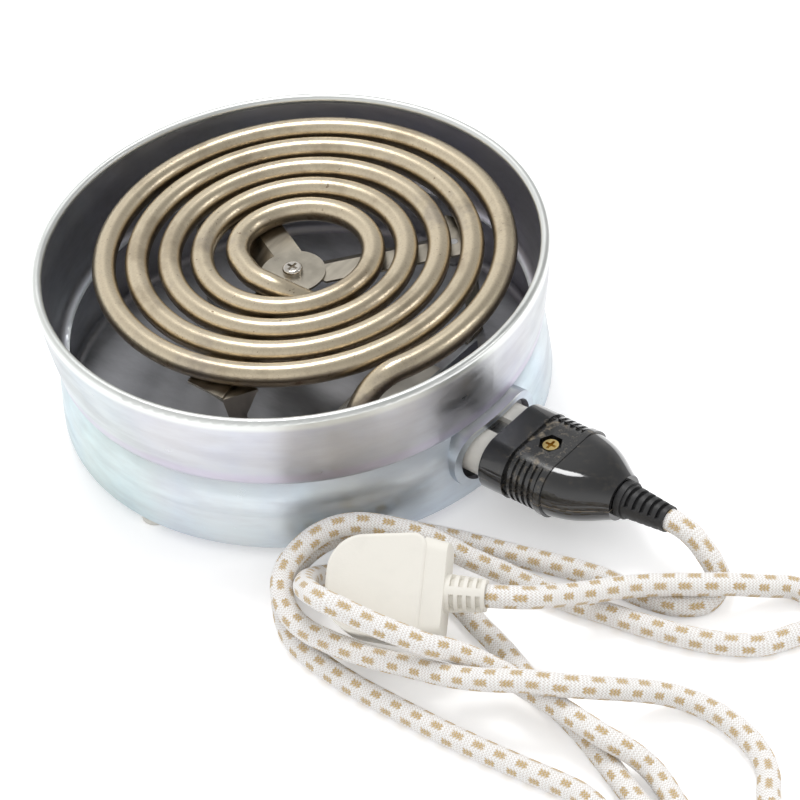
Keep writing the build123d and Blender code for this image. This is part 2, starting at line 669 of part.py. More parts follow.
def make_connector():
    """Two shells of the connector with the screw that joins them, and the ceramic insert between."""
    form = connector_outer()
    form -= slot_bar(hood_x0, insert_x1 + snug, insert_half_w + snug, insert_half_h + snug)
    form -= slot_bar(rear_cavity_x0, rear_cavity_x1, rear_cavity_half_w, rear_cavity_half_h)
    for channel in bore_pair(core_r + gap, insert_x1, rear_cavity_x0 + overrun):
        form -= channel
    form -= rod(boot_root_r + snug, (rear_cavity_x1, 0, inlet_z), (boot_collar_x0 + overrun, 0, inlet_z))
    top, bottom = inlet_z + grip_half_h, inlet_z - grip_half_h
    floor = top - recess_deep
    nut_top = bottom + shell_nut_deep
    at = (shell_screw_x, 0)
    form -= hex_bar(recess_across, (*at, floor), (*at, top + overrun))
    form -= rod(shell_screw_r + fit, (*at, bottom), (*at, floor))
    form -= hex_bar(shell_nut_across + 2 * fit, (*at, bottom - overrun), (*at, nut_top))
    space = (insert_x0, boot_x1), (-rim_r, rim_r)
    upper = form & slab(*space, (inlet_z, stove_h))
    lower = form & slab(*space, (0, inlet_z))
    head = rod(shell_screw_head_r, (*at, floor), (*at, floor + shell_screw_head_h))
    screw = head + rod(shell_screw_r, (*at, nut_top - shell_nut_h), (*at, floor))
    screw -= Pos(*at, 0) * cross_recess(floor + shell_screw_head_h)
    nut = hex_bar(shell_nut_across, (*at, nut_top - shell_nut_h), (*at, nut_top))
    nut -= rod(shell_screw_r + fit, (*at, bottom), (*at, floor))
    return upper, lower, screw, nut


def make_insert():
    """Ceramic insert with the earth groove on top, its earth strip and the two contact sleeves."""
    insert = slot_bar(insert_x0, insert_x1, insert_half_w, insert_half_h)
    floor = inlet_z + insert_half_h - groove_deep
    groove = (earth_off - groove_w / 2, earth_off + groove_w / 2)
    insert -= slab((insert_x0, insert_x1), groove, (floor, stove_h))
    strip = slab((strip_x0, insert_x1), (earth_off - strip_w / 2, earth_off + strip_w / 2), (floor, floor + strip_t))
    inner_r = pin_r + snug
    outer_r = inner_r + sleeve_wall
    end = sleeve_x0 + sleeve_len
    for bore in bore_pair(outer_r + snug, insert_x0, end) + bore_pair(core_r + snug, end, insert_x1):
        insert -= bore
    sleeves = [outer - inner for outer, inner
               in zip(bore_pair(outer_r, sleeve_x0, end), bore_pair(inner_r, sleeve_x0, end - sleeve_wall))]
    return insert, strip, sleeves, end


def make_cores(start_x):
    """Two insulated cores from the contact sleeves to the end of the cord in the boot."""
    cores = []
    for side in (-1, 1):
        wide, near = side * pin_pitch / 2, side * (core_r + gap)
        points = [
            (start_x, wide, inlet_z),
            (rear_cavity_x0 + boot_root_r, wide, inlet_z),
            (boot_x0 - lead_end_run, near, inlet_z),
            (boot_x0, near, inlet_z),
        ]
        cores.append(tube(points, core_r)[0])
    return cores


def slotted_cone(plane, length, r0, r1, first, count, width, deep, bridge, both_ways):
    """Tapered sleeve with rows of slots; bridges stay along one or two planes through its axis."""
    cone = loft([plane * Circle(r0), plane.offset(length) * Circle(r1)])
    pitch = (length - first) / count
    for k in range(count):
        at = plane.offset(first + pitch * k)
        outer_r = r0 + overrun
        here_r = r0 + (r1 - r0) * (first + pitch * k) / length
        ring = extrude(at * Circle(outer_r), width) - extrude(at * Circle(here_r - deep), width)
        ring -= extrude(at * Rectangle(2 * bridge, 2 * outer_r), width)
        if both_ways:
            ring -= extrude(at * Rectangle(2 * outer_r, 2 * bridge), width)
        cone -= ring
    return cone


def make_boot():
    """Flexible sleeve that guides the cord out of the connector."""
    plane = Plane(origin=(boot_collar_x1, 0, inlet_z), x_dir=(0, 0, 1), z_dir=(1, 0, 0))
    length = boot_x1 - boot_collar_x1
    pitch = length / (boot_slot_count + 1)
    boot = slotted_cone(plane, length, boot_r0, boot_r1, pitch / 2, boot_slot_count,
                        boot_slot_w, boot_slot_deep, boot_bridge, False)
    boot += rod(boot_collar_r, (boot_collar_x0, 0, inlet_z), (boot_collar_x1, 0, inlet_z))
    return boot + rod(boot_root_r, (boot_x0, 0, inlet_z), (boot_collar_x0, 0, inlet_z))


def plug_plane():
    """Plane of the plug: X runs from its blades' end to the cord, Z out of its big face."""
    azimuth, roll = radians(plug_azimuth), radians(plug_roll)
    along = unit(azimuth)
    lean = unit(azimuth - radians(90))
    face = cos(roll) * Vector(0, 0, 1) + sin(roll) * lean
    low_off = live_off + blade_w / 2 * sin(radians(live_angle)) + blade_t / 2 * cos(radians(live_angle))
    axis_z = table_gap + low_off * sin(roll) + (plug_t / 2 + blade_len) * cos(roll)
    return Plane(origin=(plug_root_x, plug_root_y, axis_z), x_dir=along, z_dir=face)


def make_plug():
    """Plug body, its strain relief and its three blades."""
    plane = plug_plane()
    outline = make_face(Polyline(
        (plug_front, -plug_front_half_w),
        (plug_ridge, -plug_ridge_half_w),
        (plug_ridge, plug_ridge_half_w),
        (plug_front, plug_front_half_w),
        close=True,
    ))
    ordered = outline.vertices().sort_by(Axis.X)
    outline = fillet(ordered[:2], plug_front_round)
    outline = fillet(outline.vertices().sort_by(Axis.X)[-2:], plug_ridge_round)
    body = extrude(plane.offset(-plug_t / 2) * outline, plug_t)
    big_faces = body.faces().sort_by(lambda face: (face.center() - plane.origin).dot(plane.z_dir))
    body = fillet(big_faces[0].edges() + big_faces[-1].edges(), plug_edge)
    across = Plane(origin=plane.from_local_coords(Vector(plug_ridge - plug_shoulder, 0, 0)),
                   x_dir=plane.y_dir, z_dir=plane.x_dir)
    end = across.offset(plug_rear - plug_ridge + plug_shoulder)
    shoulder = across * RectangleRounded(2 * (plug_ridge_half_w - plug_shoulder), plug_t - 2 * plug_shoulder,
                                         plug_rear_round)
    rear = end * RectangleRounded(2 * plug_rear_half_w, plug_rear_t, plug_rear_round)
    body = body + loft([shoulder, rear])
    blades = []
    for place, off, angle in ((live_place, live_off, live_angle), (live_place, -live_off, -live_angle),
                              (ground_place, 0, 0)):
        spot = plane * Pos(place, -off, -plug_t / 2) * Rot(Z=-angle)
        blades.append(spot * Pos(0, 0, (blade_root - blade_len) / 2) * Box(blade_w, blade_t, blade_root + blade_len))
        body -= spot * Box(blade_w + 2 * snug, blade_t + 2 * snug, 2 * (blade_root + snug))
    relief = slotted_cone(end, relief_len, relief_r0, relief_r1, relief_len / (2 * relief_slots),
                          relief_slots, relief_slot_w, relief_slot_deep, relief_bridge, True)
    tip = end.offset(relief_len)
    return body, relief, blades, tip


def make_cord(tip):
    """Cord from the boot round the table to the plug, and what is printed to check it."""
    end = tip.origin
    points = [Vector(boot_x1, 0, inlet_z)] + [Vector(*point) for point in cord_route]
    points += [end + cord_end_run * tip.z_dir, end]
    cord, path = tube(points, cord_r)
    print("cord length", round(path.length, 1), "volume share", round(cord.volume / (pi * cord_r**2 * path.length), 4))
    print("cord radii", [round(radius, 1) for radius in corner_radii(points)])
    return cord


def main():
    save("drum_shell", make_drum())
    save("base_plate", make_base_plate())
    feet, foot_rivets = make_feet()
    save("foot_pads", *feet)
    save("foot_rivets", *foot_rivets)
    coil, seals, studs, tips = make_coil()
    save("heating_coil", coil)
    save("coil_end_seals", *seals)
    save("coil_terminals", *studs)
    room = tail_room()
    for name, angle in arm_angles.items():
        arm = Rot(Z=angle) * make_arm()
        save(f"support_arm_{name}", arm - room if name == "front" else arm)
        save(f"support_leg_{name}", Rot(Z=angle) * make_leg())
    save("bracket_rivets", *make_bracket_rivets())
    upper, lower, screw, nut = make_clamp()
    save("clamp_plate", upper)
    save("clamp_backing_plate", lower)
    save("clamp_screw", screw)
    save("clamp_nut", nut)
    block, plate, screws, nuts, pins, pin_nuts = make_inlet()
    save("inlet_block", block)
    save("inlet_plate", plate)
    save("inlet_screws", *screws)
    save("inlet_screw_nuts", *nuts)
    save("inlet_pins", *pins)
    save("inlet_pin_nuts", *pin_nuts)
    save("earth_tongue", make_earth_tongue())
    outer, inner = make_leads(tips)
    save("lead_outer", outer)
    save("lead_inner", inner)
    upper, lower, screw, nut = make_connector()
    save("connector_upper_shell", upper)
    save("connector_lower_shell", lower)
    save("connector_screw", screw)
    save("connector_nut", nut)
    insert, strip, sleeves, end = make_insert()
    save("connector_insert", insert)
    save("connector_earth_strip", strip)
    save("contact_sleeves", *sleeves)
    save("connector_cores", *make_cores(end))
    save("cord_boot", make_boot())
    body, relief, blades, tip = make_plug()
    save("plug_body", body)
    save("plug_strain_relief", relief)
    save("plug_blades", *blades)
    save("cord", make_cord(tip))


main()
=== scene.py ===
import math

import bpy
import numpy as np
from mathutils import Matrix, Vector


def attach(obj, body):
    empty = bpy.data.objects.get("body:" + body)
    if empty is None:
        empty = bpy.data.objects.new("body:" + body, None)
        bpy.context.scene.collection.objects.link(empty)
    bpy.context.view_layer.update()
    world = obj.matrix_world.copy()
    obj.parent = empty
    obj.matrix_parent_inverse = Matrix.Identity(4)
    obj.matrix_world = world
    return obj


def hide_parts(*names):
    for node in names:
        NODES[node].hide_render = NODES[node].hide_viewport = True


bl_info = {
    "name": "Hotplate with braided lead",
    "version": (1, 0, 0),
    "blender": (4, 5, 0),
    "location": "3D View > Sidebar > Hotplate",
    "description": "Finishes, braided cord and studio for a round electric hotplate",
    "category": "Object",
}

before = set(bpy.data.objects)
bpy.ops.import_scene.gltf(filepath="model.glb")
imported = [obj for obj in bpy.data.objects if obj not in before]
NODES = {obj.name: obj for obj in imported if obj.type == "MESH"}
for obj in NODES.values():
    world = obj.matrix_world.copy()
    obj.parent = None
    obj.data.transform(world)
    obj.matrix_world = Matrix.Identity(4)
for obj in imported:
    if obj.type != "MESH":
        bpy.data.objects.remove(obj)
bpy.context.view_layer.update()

# Points of the cord's route in metres, from the boot to the plug
CORD_ROUTE = (
    (0.178, 0, 0.022), (0.187, 0, 0.022), (0.1985, -0.0015, 0.0125), (0.203, -0.003, 0.0065),
    (0.205, -0.013, 0.0044), (0.199, -0.0195, 0.0044), (0.19, -0.023, 0.0044), (0.1765, -0.0245, 0.0044),
    (0.161, -0.0245, 0.0044), (0.131, -0.0325, 0.0044), (0.116, -0.037, 0.005), (0.1035, -0.0445, 0.009),
    (0.091, -0.0525, 0.0125), (0.08, -0.0615, 0.0145), (0.072, -0.0725, 0.014), (0.067, -0.082, 0.009),
    (0.0655, -0.0915, 0.0044), (0.075, -0.1035, 0.0044), (0.089, -0.1145, 0.0044), (0.104, -0.118, 0.0044),
    (0.1235, -0.12, 0.0044), (0.1455, -0.12, 0.0044), (0.171, -0.1197, 0.0044), (0.1975, -0.118, 0.0044),
    (0.217, -0.116, 0.0044), (0.2275, -0.116, 0.0044), (0.242, -0.1213, 0.0044), (0.258, -0.129, 0.0044),
    (0.273, -0.137, 0.0044), (0.288, -0.146, 0.0044), (0.303, -0.148, 0.0044), (0.3135, -0.139, 0.0044),
    (0.3105, -0.126, 0.0044), (0.297, -0.121, 0.0044), (0.279, -0.1215, 0.0044), (0.253, -0.1124, 0.0044),
    (0.2265, -0.1005, 0.0044), (0.2065, -0.0915, 0.0044), (0.1875, -0.0855, 0.0044),
    (0.172, -0.081, 0.0044), (0.155, -0.074, 0.0044), (0.1415, -0.07, 0.0044), (0.124, -0.063, 0.0044),
    (0.1095, -0.064, 0.0044), (0.0965, -0.069, 0.0044), (0.0835, -0.0765, 0.0044), (0.076, -0.0845, 0.0055),
    (0.0815, -0.095, 0.015), (0.089, -0.1035, 0.024), (0.0975, -0.1125, 0.0335), (0.111, -0.118, 0.0395),
    (0.1185, -0.1165, 0.038), (0.126, -0.114, 0.035), (0.1335, -0.112, 0.033), (0.141, -0.109, 0.0305),
    (0.149, -0.106, 0.0275), (0.154, -0.0995, 0.023), (0.161, -0.095, 0.0185), (0.1705, -0.091, 0.0136),
    (0.184, -0.092, 0.0134), (0.1975, -0.094, 0.0143), (0.21, -0.0955, 0.0146), (0.221, -0.0965, 0.014),
    (0.231, -0.094, 0.0105), (0.241, -0.0935, 0.005), (0.2545, -0.101, 0.0044), (0.269, -0.108, 0.0044),
    (0.286, -0.1115, 0.0044), (0.301, -0.108, 0.0044), (0.305, -0.0965, 0.0044), (0.2965, -0.0885, 0.0044),
    (0.2815, -0.0845, 0.0044), (0.273, -0.07, 0.0044), (0.2575, -0.0605, 0.0044), (0.2375, -0.0565, 0.0044),
    (0.222, -0.0605, 0.0065), (0.2135, -0.0715, 0.013), (0.2065, -0.0835, 0.02), (0.198, -0.092, 0.0235),
    (0.1865, -0.097, 0.0235), (0.1755, -0.103, 0.0223), (0.1585, -0.106, 0.0172), (0.142, -0.1085, 0.0152),
    (0.127, -0.1135, 0.0158), (0.112, -0.1155, 0.0155), (0.096, -0.1155, 0.0145), (0.0825, -0.11, 0.0148),
    (0.0735, -0.1005, 0.0175), (0.0725, -0.089, 0.021), (0.0755, -0.077, 0.0235), (0.084, -0.0675, 0.0245),
    (0.097, -0.061, 0.023), (0.1085, -0.054, 0.0185), (0.121, -0.0497, 0.0116), (0.133, -0.044, 0.006),
    (0.1465, -0.0425, 0.0044), (0.161, -0.0415, 0.0044), (0.1745, -0.039, 0.0044),
    (0.1905, -0.0365, 0.0044), (0.2065, -0.033, 0.0044), (0.22, -0.0285, 0.0044), (0.233, -0.0215, 0.0044),
    (0.238, -0.014, 0.0044), (0.2445, -0.0025, 0.0044), (0.239, 0.009, 0.0044), (0.227, 0.0115, 0.005),
    (0.2185, 0.0015, 0.0085), (0.212, -0.007, 0.0128), (0.203, -0.015, 0.0142), (0.1915, -0.0225, 0.0142),
    (0.1805, -0.032, 0.0145), (0.172, -0.044, 0.0165), (0.1655, -0.0565, 0.021), (0.1611, -0.06775, 0.027),
    (0.15056, -0.07347, 0.02703),
)

# UV map of the cord: turns round it and metres along it
BRAID_MAP = "braid"

# Width of the camera's sensor in millimetres, and its far limit and what the lamps look at in metres
SENSOR_WIDTH = 36.0
CLIP_END = 50.0
LAMP_AIM = (0.05, -0.02, 0.02)

# Heights on the drum's wall between which a tint grows from none to all, in metres
CYAN_BAND = (0.037, 0.031)
RIM_BAND = (0.0655, 0.0680)

# Places along the connector between which its grip's dust grows from none to all, in metres
GRIP_BACK = (0.1125, 0.1150)
GRIP_FRONT = (0.1345, 0.1325)

# Size of the grain in a finish, in metres
BASE_GRAIN = 0.0015
TUBE_GRAIN = 0.0009
SHELL_GRAIN = 0.0022
DUST_GRAIN = 0.0032

# Fineness of brushed metal along X, Y and Z, in marks for each metre
BASE_BRUSHING = (14.0, 42.0, 14.0)
SHEET_BRUSHING = (260.0, 18.0, 60.0)
EVEN_BRUSHING = (90.0, 90.0, 90.0)
SCREW_BRUSHING = (160.0, 160.0, 400.0)
PIN_BRUSHING = (60.0, 300.0, 300.0)
CONTACT_BRUSHING = (300.0, 40.0, 40.0)
BLADE_BRUSHING = (60.0, 60.0, 300.0)


# ---------------------------------------------------------------- settings

def colour(name, note, value):
    """A colour setting in linear light."""
    return bpy.props.FloatVectorProperty(name=name, description=note, default=value, size=3,
                                         subtype="COLOR", min=0.0, max=1.0)


def share(name, note, value):
    """A setting between none and all."""
    return bpy.props.FloatProperty(name=name, description=note, default=value, subtype="FACTOR",
                                   min=0.0, max=1.0)


def size(name, note, value):
    """A length in metres."""
    return bpy.props.FloatProperty(name=name, description=note, default=value, unit="LENGTH", min=0.0,
                                   precision=5)


def count(name, note, value, least):
    """A whole number that is at least this."""
    return bpy.props.IntProperty(name=name, description=note, default=value, min=least)


def spot(name, note, value):
    """A place in metres."""
    return bpy.props.FloatVectorProperty(name=name, description=note, default=value, size=3,
                                         subtype="TRANSLATION")


def power(name, note, value):
    """Power of a lamp in watts."""
    return bpy.props.FloatProperty(name=name, description=note, default=value, unit="POWER", min=0.0)


class HotplateMetals(bpy.types.PropertyGroup):
    """Colours of the metal parts, and sizes of the marks on the drum's wall."""
    zinc: colour("Zinc", "Plated wall of the drum", (0.55, 0.62, 0.66))
    zinc_cyan: colour("Cyan tint", "Tint of the zinc below the crease", (0.56, 0.71, 0.75))
    zinc_inside: colour("Zinc inside", "Plated wall of the drum, inside", (0.58, 0.605, 0.66))
    zinc_violet: colour("Violet tint", "Tint of the passivated zinc", (0.67, 0.58, 0.74))
    zinc_gold: colour("Gold tint", "Tint of the passivated zinc", (0.74, 0.71, 0.60))
    rim: colour("Rim", "Rolled rim", (0.82, 0.84, 0.81))
    base: colour("Base", "Floor of the drum", (0.60, 0.61, 0.64))
    # Tube top is a painted highlight where the tube faces up; tube side is its brown, used as painted shade
    # on its sides and in random patches
    tube_lit_top: colour("Tube top", "Heating tube where it faces up", (0.71, 0.615, 0.455))
    tube_shaded_brown: colour("Tube side", "Heating tube where it faces sideways", (0.31, 0.245, 0.165))
    stain: colour("Heat stain", "Brown stains on the heating tube", (0.19, 0.12, 0.07))
    scorch: colour("Scorch", "Grey clouds on the heating tube", (0.30, 0.265, 0.245))
    bracket: colour("Bracket", "Arms and legs under the tube", (0.49, 0.45, 0.375))
    brass: colour("Brass", "Brass screws, nuts, contacts and blades", (0.76, 0.58, 0.25))
    rivets: colour("Rivets", "Rivets of the feet and the bracket", (0.56, 0.56, 0.56))
    terminals: colour("Terminals", "Studs at the ends of the heating tube", (0.60, 0.60, 0.60))
    clamp_screw: colour("Clamp screw", "Screw and nut at the centre", (0.74, 0.70, 0.64))
    inlet_sheet: colour("Inlet sheet", "Plate behind the inlet", (0.60, 0.63, 0.66))
    inlet_screws: colour("Inlet screws", "Small screws and nuts of the inlet", (0.66, 0.66, 0.66))
    pins: colour("Pins", "Pins of the inlet", (0.76, 0.74, 0.70))
    earth_tongue: colour("Earth tongue", "Spring strip of the inlet", (0.60, 0.60, 0.58))
    earth_strip: colour("Earth strip", "Strip in the connector's groove", (0.66, 0.66, 0.65))
    # Height of a painted highlight along the crease
    crease_highlight_height: size("Crease height", "Height of the polished crease in the wall", 0.0352)
    blush_height: size("Blush height", "Height of the violet band above the crease", 0.0390)
    streak_height: size("Streak height", "Height of a rolling streak in the zinc", 0.006)
    streak_length: size("Streak length", "Length of a rolling streak in the zinc", 0.035)
    cloud_height: size("Cloud height", "Height of a tinted cloud in the zinc", 0.05)
    cloud_length: size("Cloud length", "Length of a tinted cloud in the zinc", 0.055)
    zinc_grain: size("Zinc grain", "Size of the finest grain in the zinc", 0.0012)


class HotplateMouldings(bpy.types.PropertyGroup):
    """Colours of the plastics, ceramics and sleeves, and the connector's seam."""
    connector: colour("Connector", "Moulded shells of the connector", (0.004, 0.004, 0.0045))
    dust: colour("Dust", "Dust on the connector's grip and seam", (0.30, 0.24, 0.16))
    boot: colour("Boot", "Rubber boot", (0.022, 0.022, 0.023))
    insert: colour("Insert", "Ceramic insert", (0.82, 0.80, 0.745))
    plug: colour("Plug", "Moulded mains plug", (0.80, 0.775, 0.71))
    ceramic: colour("Ceramic", "Inlet block and tube seals", (0.80, 0.76, 0.68))
    sleeve: colour("Sleeve", "Woven sleeve of the leads", (0.74, 0.71, 0.63))
    core: colour("Core", "Insulated cores of the cord", (0.10, 0.16, 0.45))
    seam_height: size("Seam height", "Height of the seam between the connector's shells", 0.022)
    seam_width: size("Seam width", "Width of that seam", 0.00032)
    pads: colour("Foot pads", "Pads under the drum", (0.72, 0.70, 0.65))


class HotplateCord(bpy.types.PropertyGroup):
    """Sizes and colours of the braided cord."""
    diameter: size("Diameter", "Outside diameter of the braid", 0.0087)
    sides: count("Sides", "Faces round the cord", 28, least=8)
    steps: count("Steps", "Rings between two points of the route", 11, least=2)
    rows: count("Tick rows", "Rows of ticks round the cord", 6, least=1)
    tick_pitch: size("Tick pitch", "From one tick to the next along the cord", 0.0093)
    tick_length: size("Tick length", "Length of one tick", 0.0044)
    strand_pitch: size("Strand pitch", "Length of one stitch of the braid", 0.00135)
    stitches: count("Stitches", "Stitches round the braid", 24, least=4)
    twist: share("Twist", "Shift of each row of ticks, as a share of their pitch", 0.333)
    white: colour("White yarn", "Main yarn of the braid", (0.97, 0.96, 0.945))
    # The grooves colour is painted shade: the white yarn darkens to it where the braid is low, between the
    # stitches
    groove_shade: colour("Grooves", "Between the stitches of the white yarn", (0.66, 0.58, 0.51))
    tan: colour("Tan yarn", "Yarn of the ticks", (0.58, 0.41, 0.18))


class HotplateStudio(bpy.types.PropertyGroup):
    """Camera, floor and lights."""
    lens: bpy.props.FloatProperty(name="Lens", description="Focal length of the camera", default=188.3,
                                  unit="CAMERA", min=1.0)
    place: spot("Camera place", "Where the camera stands", (0.89438, -0.87891, 1.07404))
    aim: spot("Camera aim", "Point on the table it looks at", (0.03413, 0.01496, 0.0))
    roll: bpy.props.FloatProperty(name="Camera roll", description="Lean of the camera to its left",
                                  default=math.radians(-6.935), subtype="ANGLE")
    floor: colour("Floor", "Pale floor", (0.93, 0.93, 0.935))
    floor_lift: share("Floor lift", "White added to the floor where it is seen", 0.30)
    floor_half: size("Floor half width", "Half the width of the floor", 4.0)
    right_side: share("Right side", "What metal sees to the right, as a share of white", 0.50)
    zenith: share("Zenith", "What metal sees straight overhead, as a share of white", 0.60)
    ambient: share("Ambient", "Light from all round", 0.95)
    key: power("Key light", "Power of the large soft light", 12.0)
    key_width: size("Key width", "Width of the large soft light", 0.7)
    key_place: spot("Key place", "Where the large soft light stands", (-0.55, 0.45, 1.9))
    fill: power("Fill light", "Power of the low side light", 2.0)
    fill_place: spot("Fill place", "Where the low side light stands", (1.3, 0.9, 0.9))


# ---------------------------------------------------------------- shader helpers

class Bench:
    """Puts nodes into one tree. An input given as a socket is wired, and any other value is set."""

    def __init__(self, tree):
        self.tree = tree

    def connect(self, end, value):
        """Wire the end to a socket, or set it; a colour is opaque."""
        if isinstance(value, bpy.types.NodeSocket):
            self.tree.links.new(value, end)
        else:
            end.default_value = (*value, 1.0) if end.type == "RGBA" else value

    def wire(self, ends, **values):
        """Wire or set the end of each name; an underscore stands for a space."""
        for name, value in values.items():
            self.connect(ends[name.replace("_", " ")], value)

    def add(self, kind, inputs=None, **settings):
        """A new node with these settings, and with its inputs given by name or number."""
        node = self.tree.nodes.new(kind)
        for key, value in settings.items():
            setattr(node, key, value)
        for key, value in (inputs or {}).items():
            self.connect(node.inputs[key], value)
        return node

    def group(self, build, **inputs):
        """The outputs of the node group that this function builds."""
        node = self.add("ShaderNodeGroup", node_tree=found_group(build))
        self.wire(node.inputs, **inputs)
        return node.outputs

    def math(self, operation, first, second=0.0):
        return self.add("ShaderNodeMath", {0: first, 1: second}, operation=operation).outputs[0]

    def plus(self, first, second):
        return self.math("ADD", first, second)

    def minus(self, first, second):
        return self.math("SUBTRACT", first, second)

    def times(self, first, second):
        return self.math("MULTIPLY", first, second)

    def over(self, first, second):
        return self.math("DIVIDE", first, second)

    def larger(self, first, second):
        return self.math("MAXIMUM", first, second)

    def apart(self, first, second):
        """How far one value is from the other."""
        return self.math("ABSOLUTE", self.minus(first, second))

    def ramp(self, value, low, high, start=0.0, end=1.0):
        """Value from low to high, stretched smoothly to run from start to end."""
        names = {"Value": value, "From Min": low, "From Max": high, "To Min": start, "To Max": end}
        return self.add("ShaderNodeMapRange", names, interpolation_type="SMOOTHSTEP").outputs[0]

    def mix(self, amount, first, second):
        """First colour where the amount is none, second where it is all."""
        return self.add("ShaderNodeMix", {0: amount, 6: first, 7: second}, data_type="RGBA").outputs[2]

    def noise(self, vector, scale, detail=3.0, rough=0.55):
        """Soft noise with so many cells for each unit of the vector."""
        return self.add("ShaderNodeTexNoise", {"Vector": vector, "Scale": scale, "Detail": detail,
                                               "Roughness": rough}).outputs[0]

    def stretch(self, vector, by):
        """The vector times another, each axis on its own."""
        return self.add("ShaderNodeVectorMath", {0: vector, 1: by}, operation="MULTIPLY").outputs[0]

    def split(self, vector):
        return self.add("ShaderNodeSeparateXYZ", {0: vector}).outputs

    def join(self, x, y, z):
        return self.add("ShaderNodeCombineXYZ", {0: x, 1: y, 2: z}).outputs[0]

    def object_place(self):
        return self.add("ShaderNodeTexCoord").outputs["Object"]

    def facing(self):
        return self.add("ShaderNodeNewGeometry").outputs["Normal"]

    def bump(self, height, strength, distance):
        return self.add("ShaderNodeBump", {"Height": height, "Strength": strength,
                                           "Distance": distance}).outputs[0]


def new_group(name, vectors, values, results):
    """An empty node group with inputs and outputs of these names: its bench and its two ends."""
    tree = bpy.data.node_groups.new(name, "ShaderNodeTree")
    for labels, way, kind in ((vectors, "INPUT", "NodeSocketVector"), (values, "INPUT", "NodeSocketFloat"),
                              (results, "OUTPUT", "NodeSocketFloat")):
        for label in labels:
            tree.interface.new_socket(name=label, in_out=way, socket_type=kind)
    bench = Bench(tree)
    return bench, bench.add("NodeGroupInput").outputs, bench.add("NodeGroupOutput").inputs


def found_group(build):
    """The node group that this function makes, made the first time that it is asked for."""
    name = build.__name__.removeprefix("build_")
    if name not in bpy.data.node_groups:
        build(name)
    return bpy.data.node_groups[name]


def build_rolled_streaks(name):
    """Streaks that run level round the drum: noise on a circle's direction and on the height."""
    least_radius, drum_radius = 0.001, 0.1
    patch_stretch = (0.9, 0.9, 0.16)
    bench, given, made = new_group(name, ["Vector"], ["Height", "Length"], ["Mask", "Patches"])
    x, y, z = bench.split(given["Vector"])
    squares = bench.plus(bench.times(x, x), bench.times(y, y))
    radius = bench.larger(bench.math("SQRT", squares), least_radius)
    around = bench.over(drum_radius, given["Length"])
    level = bench.over(z, given["Height"])
    ring = bench.join(bench.times(bench.over(x, radius), around),
                      bench.times(bench.over(y, radius), around),
                      bench.plus(level, bench.over(radius, given["Length"])))
    fine = bench.noise(ring, scale=1.0, detail=5.0, rough=0.6)
    wide = bench.noise(bench.stretch(ring, patch_stretch), scale=0.8, detail=2.0, rough=0.5)
    bench.wire(made, Mask=bench.ramp(fine, low=0.32, high=0.70),
               Patches=bench.ramp(wide, low=0.36, high=0.64))


def build_speckle(name):
    """Fine uneven grain: two noises of different size, for roughness and relief."""
    broad_share = 0.12
    bench, given, made = new_group(name, ["Vector"], ["Grain"], ["Fine", "Broad"])
    scale = bench.over(1.0, given["Grain"])
    fine = bench.noise(given["Vector"], scale, detail=3.0, rough=0.6)
    broad = bench.noise(given["Vector"], bench.times(scale, broad_share), detail=2.0)
    bench.wire(made, Fine=fine, Broad=broad)


def build_settled_dust(name):
    """Dust where a noise is high, and more where the surface faces up: the share of dust."""
    everywhere = 0.35
    bench, given, made = new_group(name, ["Vector", "Normal"], ["Grain", "Amount"], ["Mask"])
    up = bench.ramp(bench.split(given["Normal"])[2], low=0.1, high=1.0)
    scale = bench.over(1.0, given["Grain"])
    spots = bench.ramp(bench.noise(given["Vector"], scale, detail=5.0, rough=0.7), low=0.50, high=0.74)
    settled = bench.times(bench.plus(up, everywhere), spots)
    bench.wire(made, Mask=bench.times(settled, given["Amount"]))


def build_braid(name):
    """Braid from its UV map in turns and metres: leaning stitches in mirrored columns, and rows of tan ticks.

    A stitch is a triangle wave of the length plus a lean that grows from a column's middle to its edge. A
    tick is the first part of each pitch, as wide as its row allows, and ragged where the stitches are low.
    """
    lean_share, middle = 1.3, 0.5
    ridge_share, ridge_floor = 0.6, 0.4
    tick_rag = 0.24
    bench, given, made = new_group(
        name, ["Vector"], ["Stitches", "Strand pitch", "Rows", "Tick pitch", "Tick length", "Twist"],
        ["Tick", "Height", "Shade"])
    turn, along, _ = bench.split(given["Vector"])

    def from_middle(value):
        return bench.apart(bench.math("FRACT", value), middle)

    off_centre = from_middle(bench.times(turn, given["Stitches"]))
    lean = bench.times(off_centre, lean_share)
    stitch = bench.plus(bench.over(along, given["Strand pitch"]), lean)
    strand = bench.ramp(from_middle(stitch), low=0.5, high=0.12)
    ridge = bench.times(bench.ramp(off_centre, low=0.0, high=0.12), ridge_share)
    height = bench.times(strand, bench.plus(ridge, ridge_floor))
    row_place = bench.times(turn, given["Rows"])
    row_shift = bench.times(bench.math("FLOOR", row_place), given["Twist"])
    leaned = bench.plus(along, bench.times(lean, given["Strand pitch"]))
    place = bench.math("FRACT", bench.plus(bench.over(leaned, given["Tick pitch"]), row_shift))
    inside = bench.math("LESS_THAN", place, bench.over(given["Tick length"], given["Tick pitch"]))
    ragged = bench.times(bench.minus(1.0, strand), tick_rag)
    narrow = bench.ramp(bench.plus(from_middle(row_place), ragged), low=0.34, high=0.28)
    stitched = bench.times(narrow, bench.ramp(strand, low=0.05, high=0.45))
    bench.wire(made, Tick=bench.times(inside, stitched), Height=height,
               Shade=bench.ramp(height, low=0.0, high=0.34))


def new_finish(name, **constants):
    """A material with these constants on its shader: its bench, the shader's inputs and the material."""
    material = bpy.data.materials.new(name)
    material.use_nodes = True
    bench = Bench(material.node_tree)
    shader = material.node_tree.nodes["Principled BSDF"].inputs
    bench.wire(shader, **constants)
    return bench, shader, material


def dress(material, *names):
    """Give CAD nodes this one material."""
    for name in names:
        slots = NODES[name].data.materials
        slots.clear()
        slots.append(material)


def dimmed(tint, by):
    """A tint at this share of its brightness."""
    return tuple(by * part for part in tint)


# ---------------------------------------------------------------- finishes

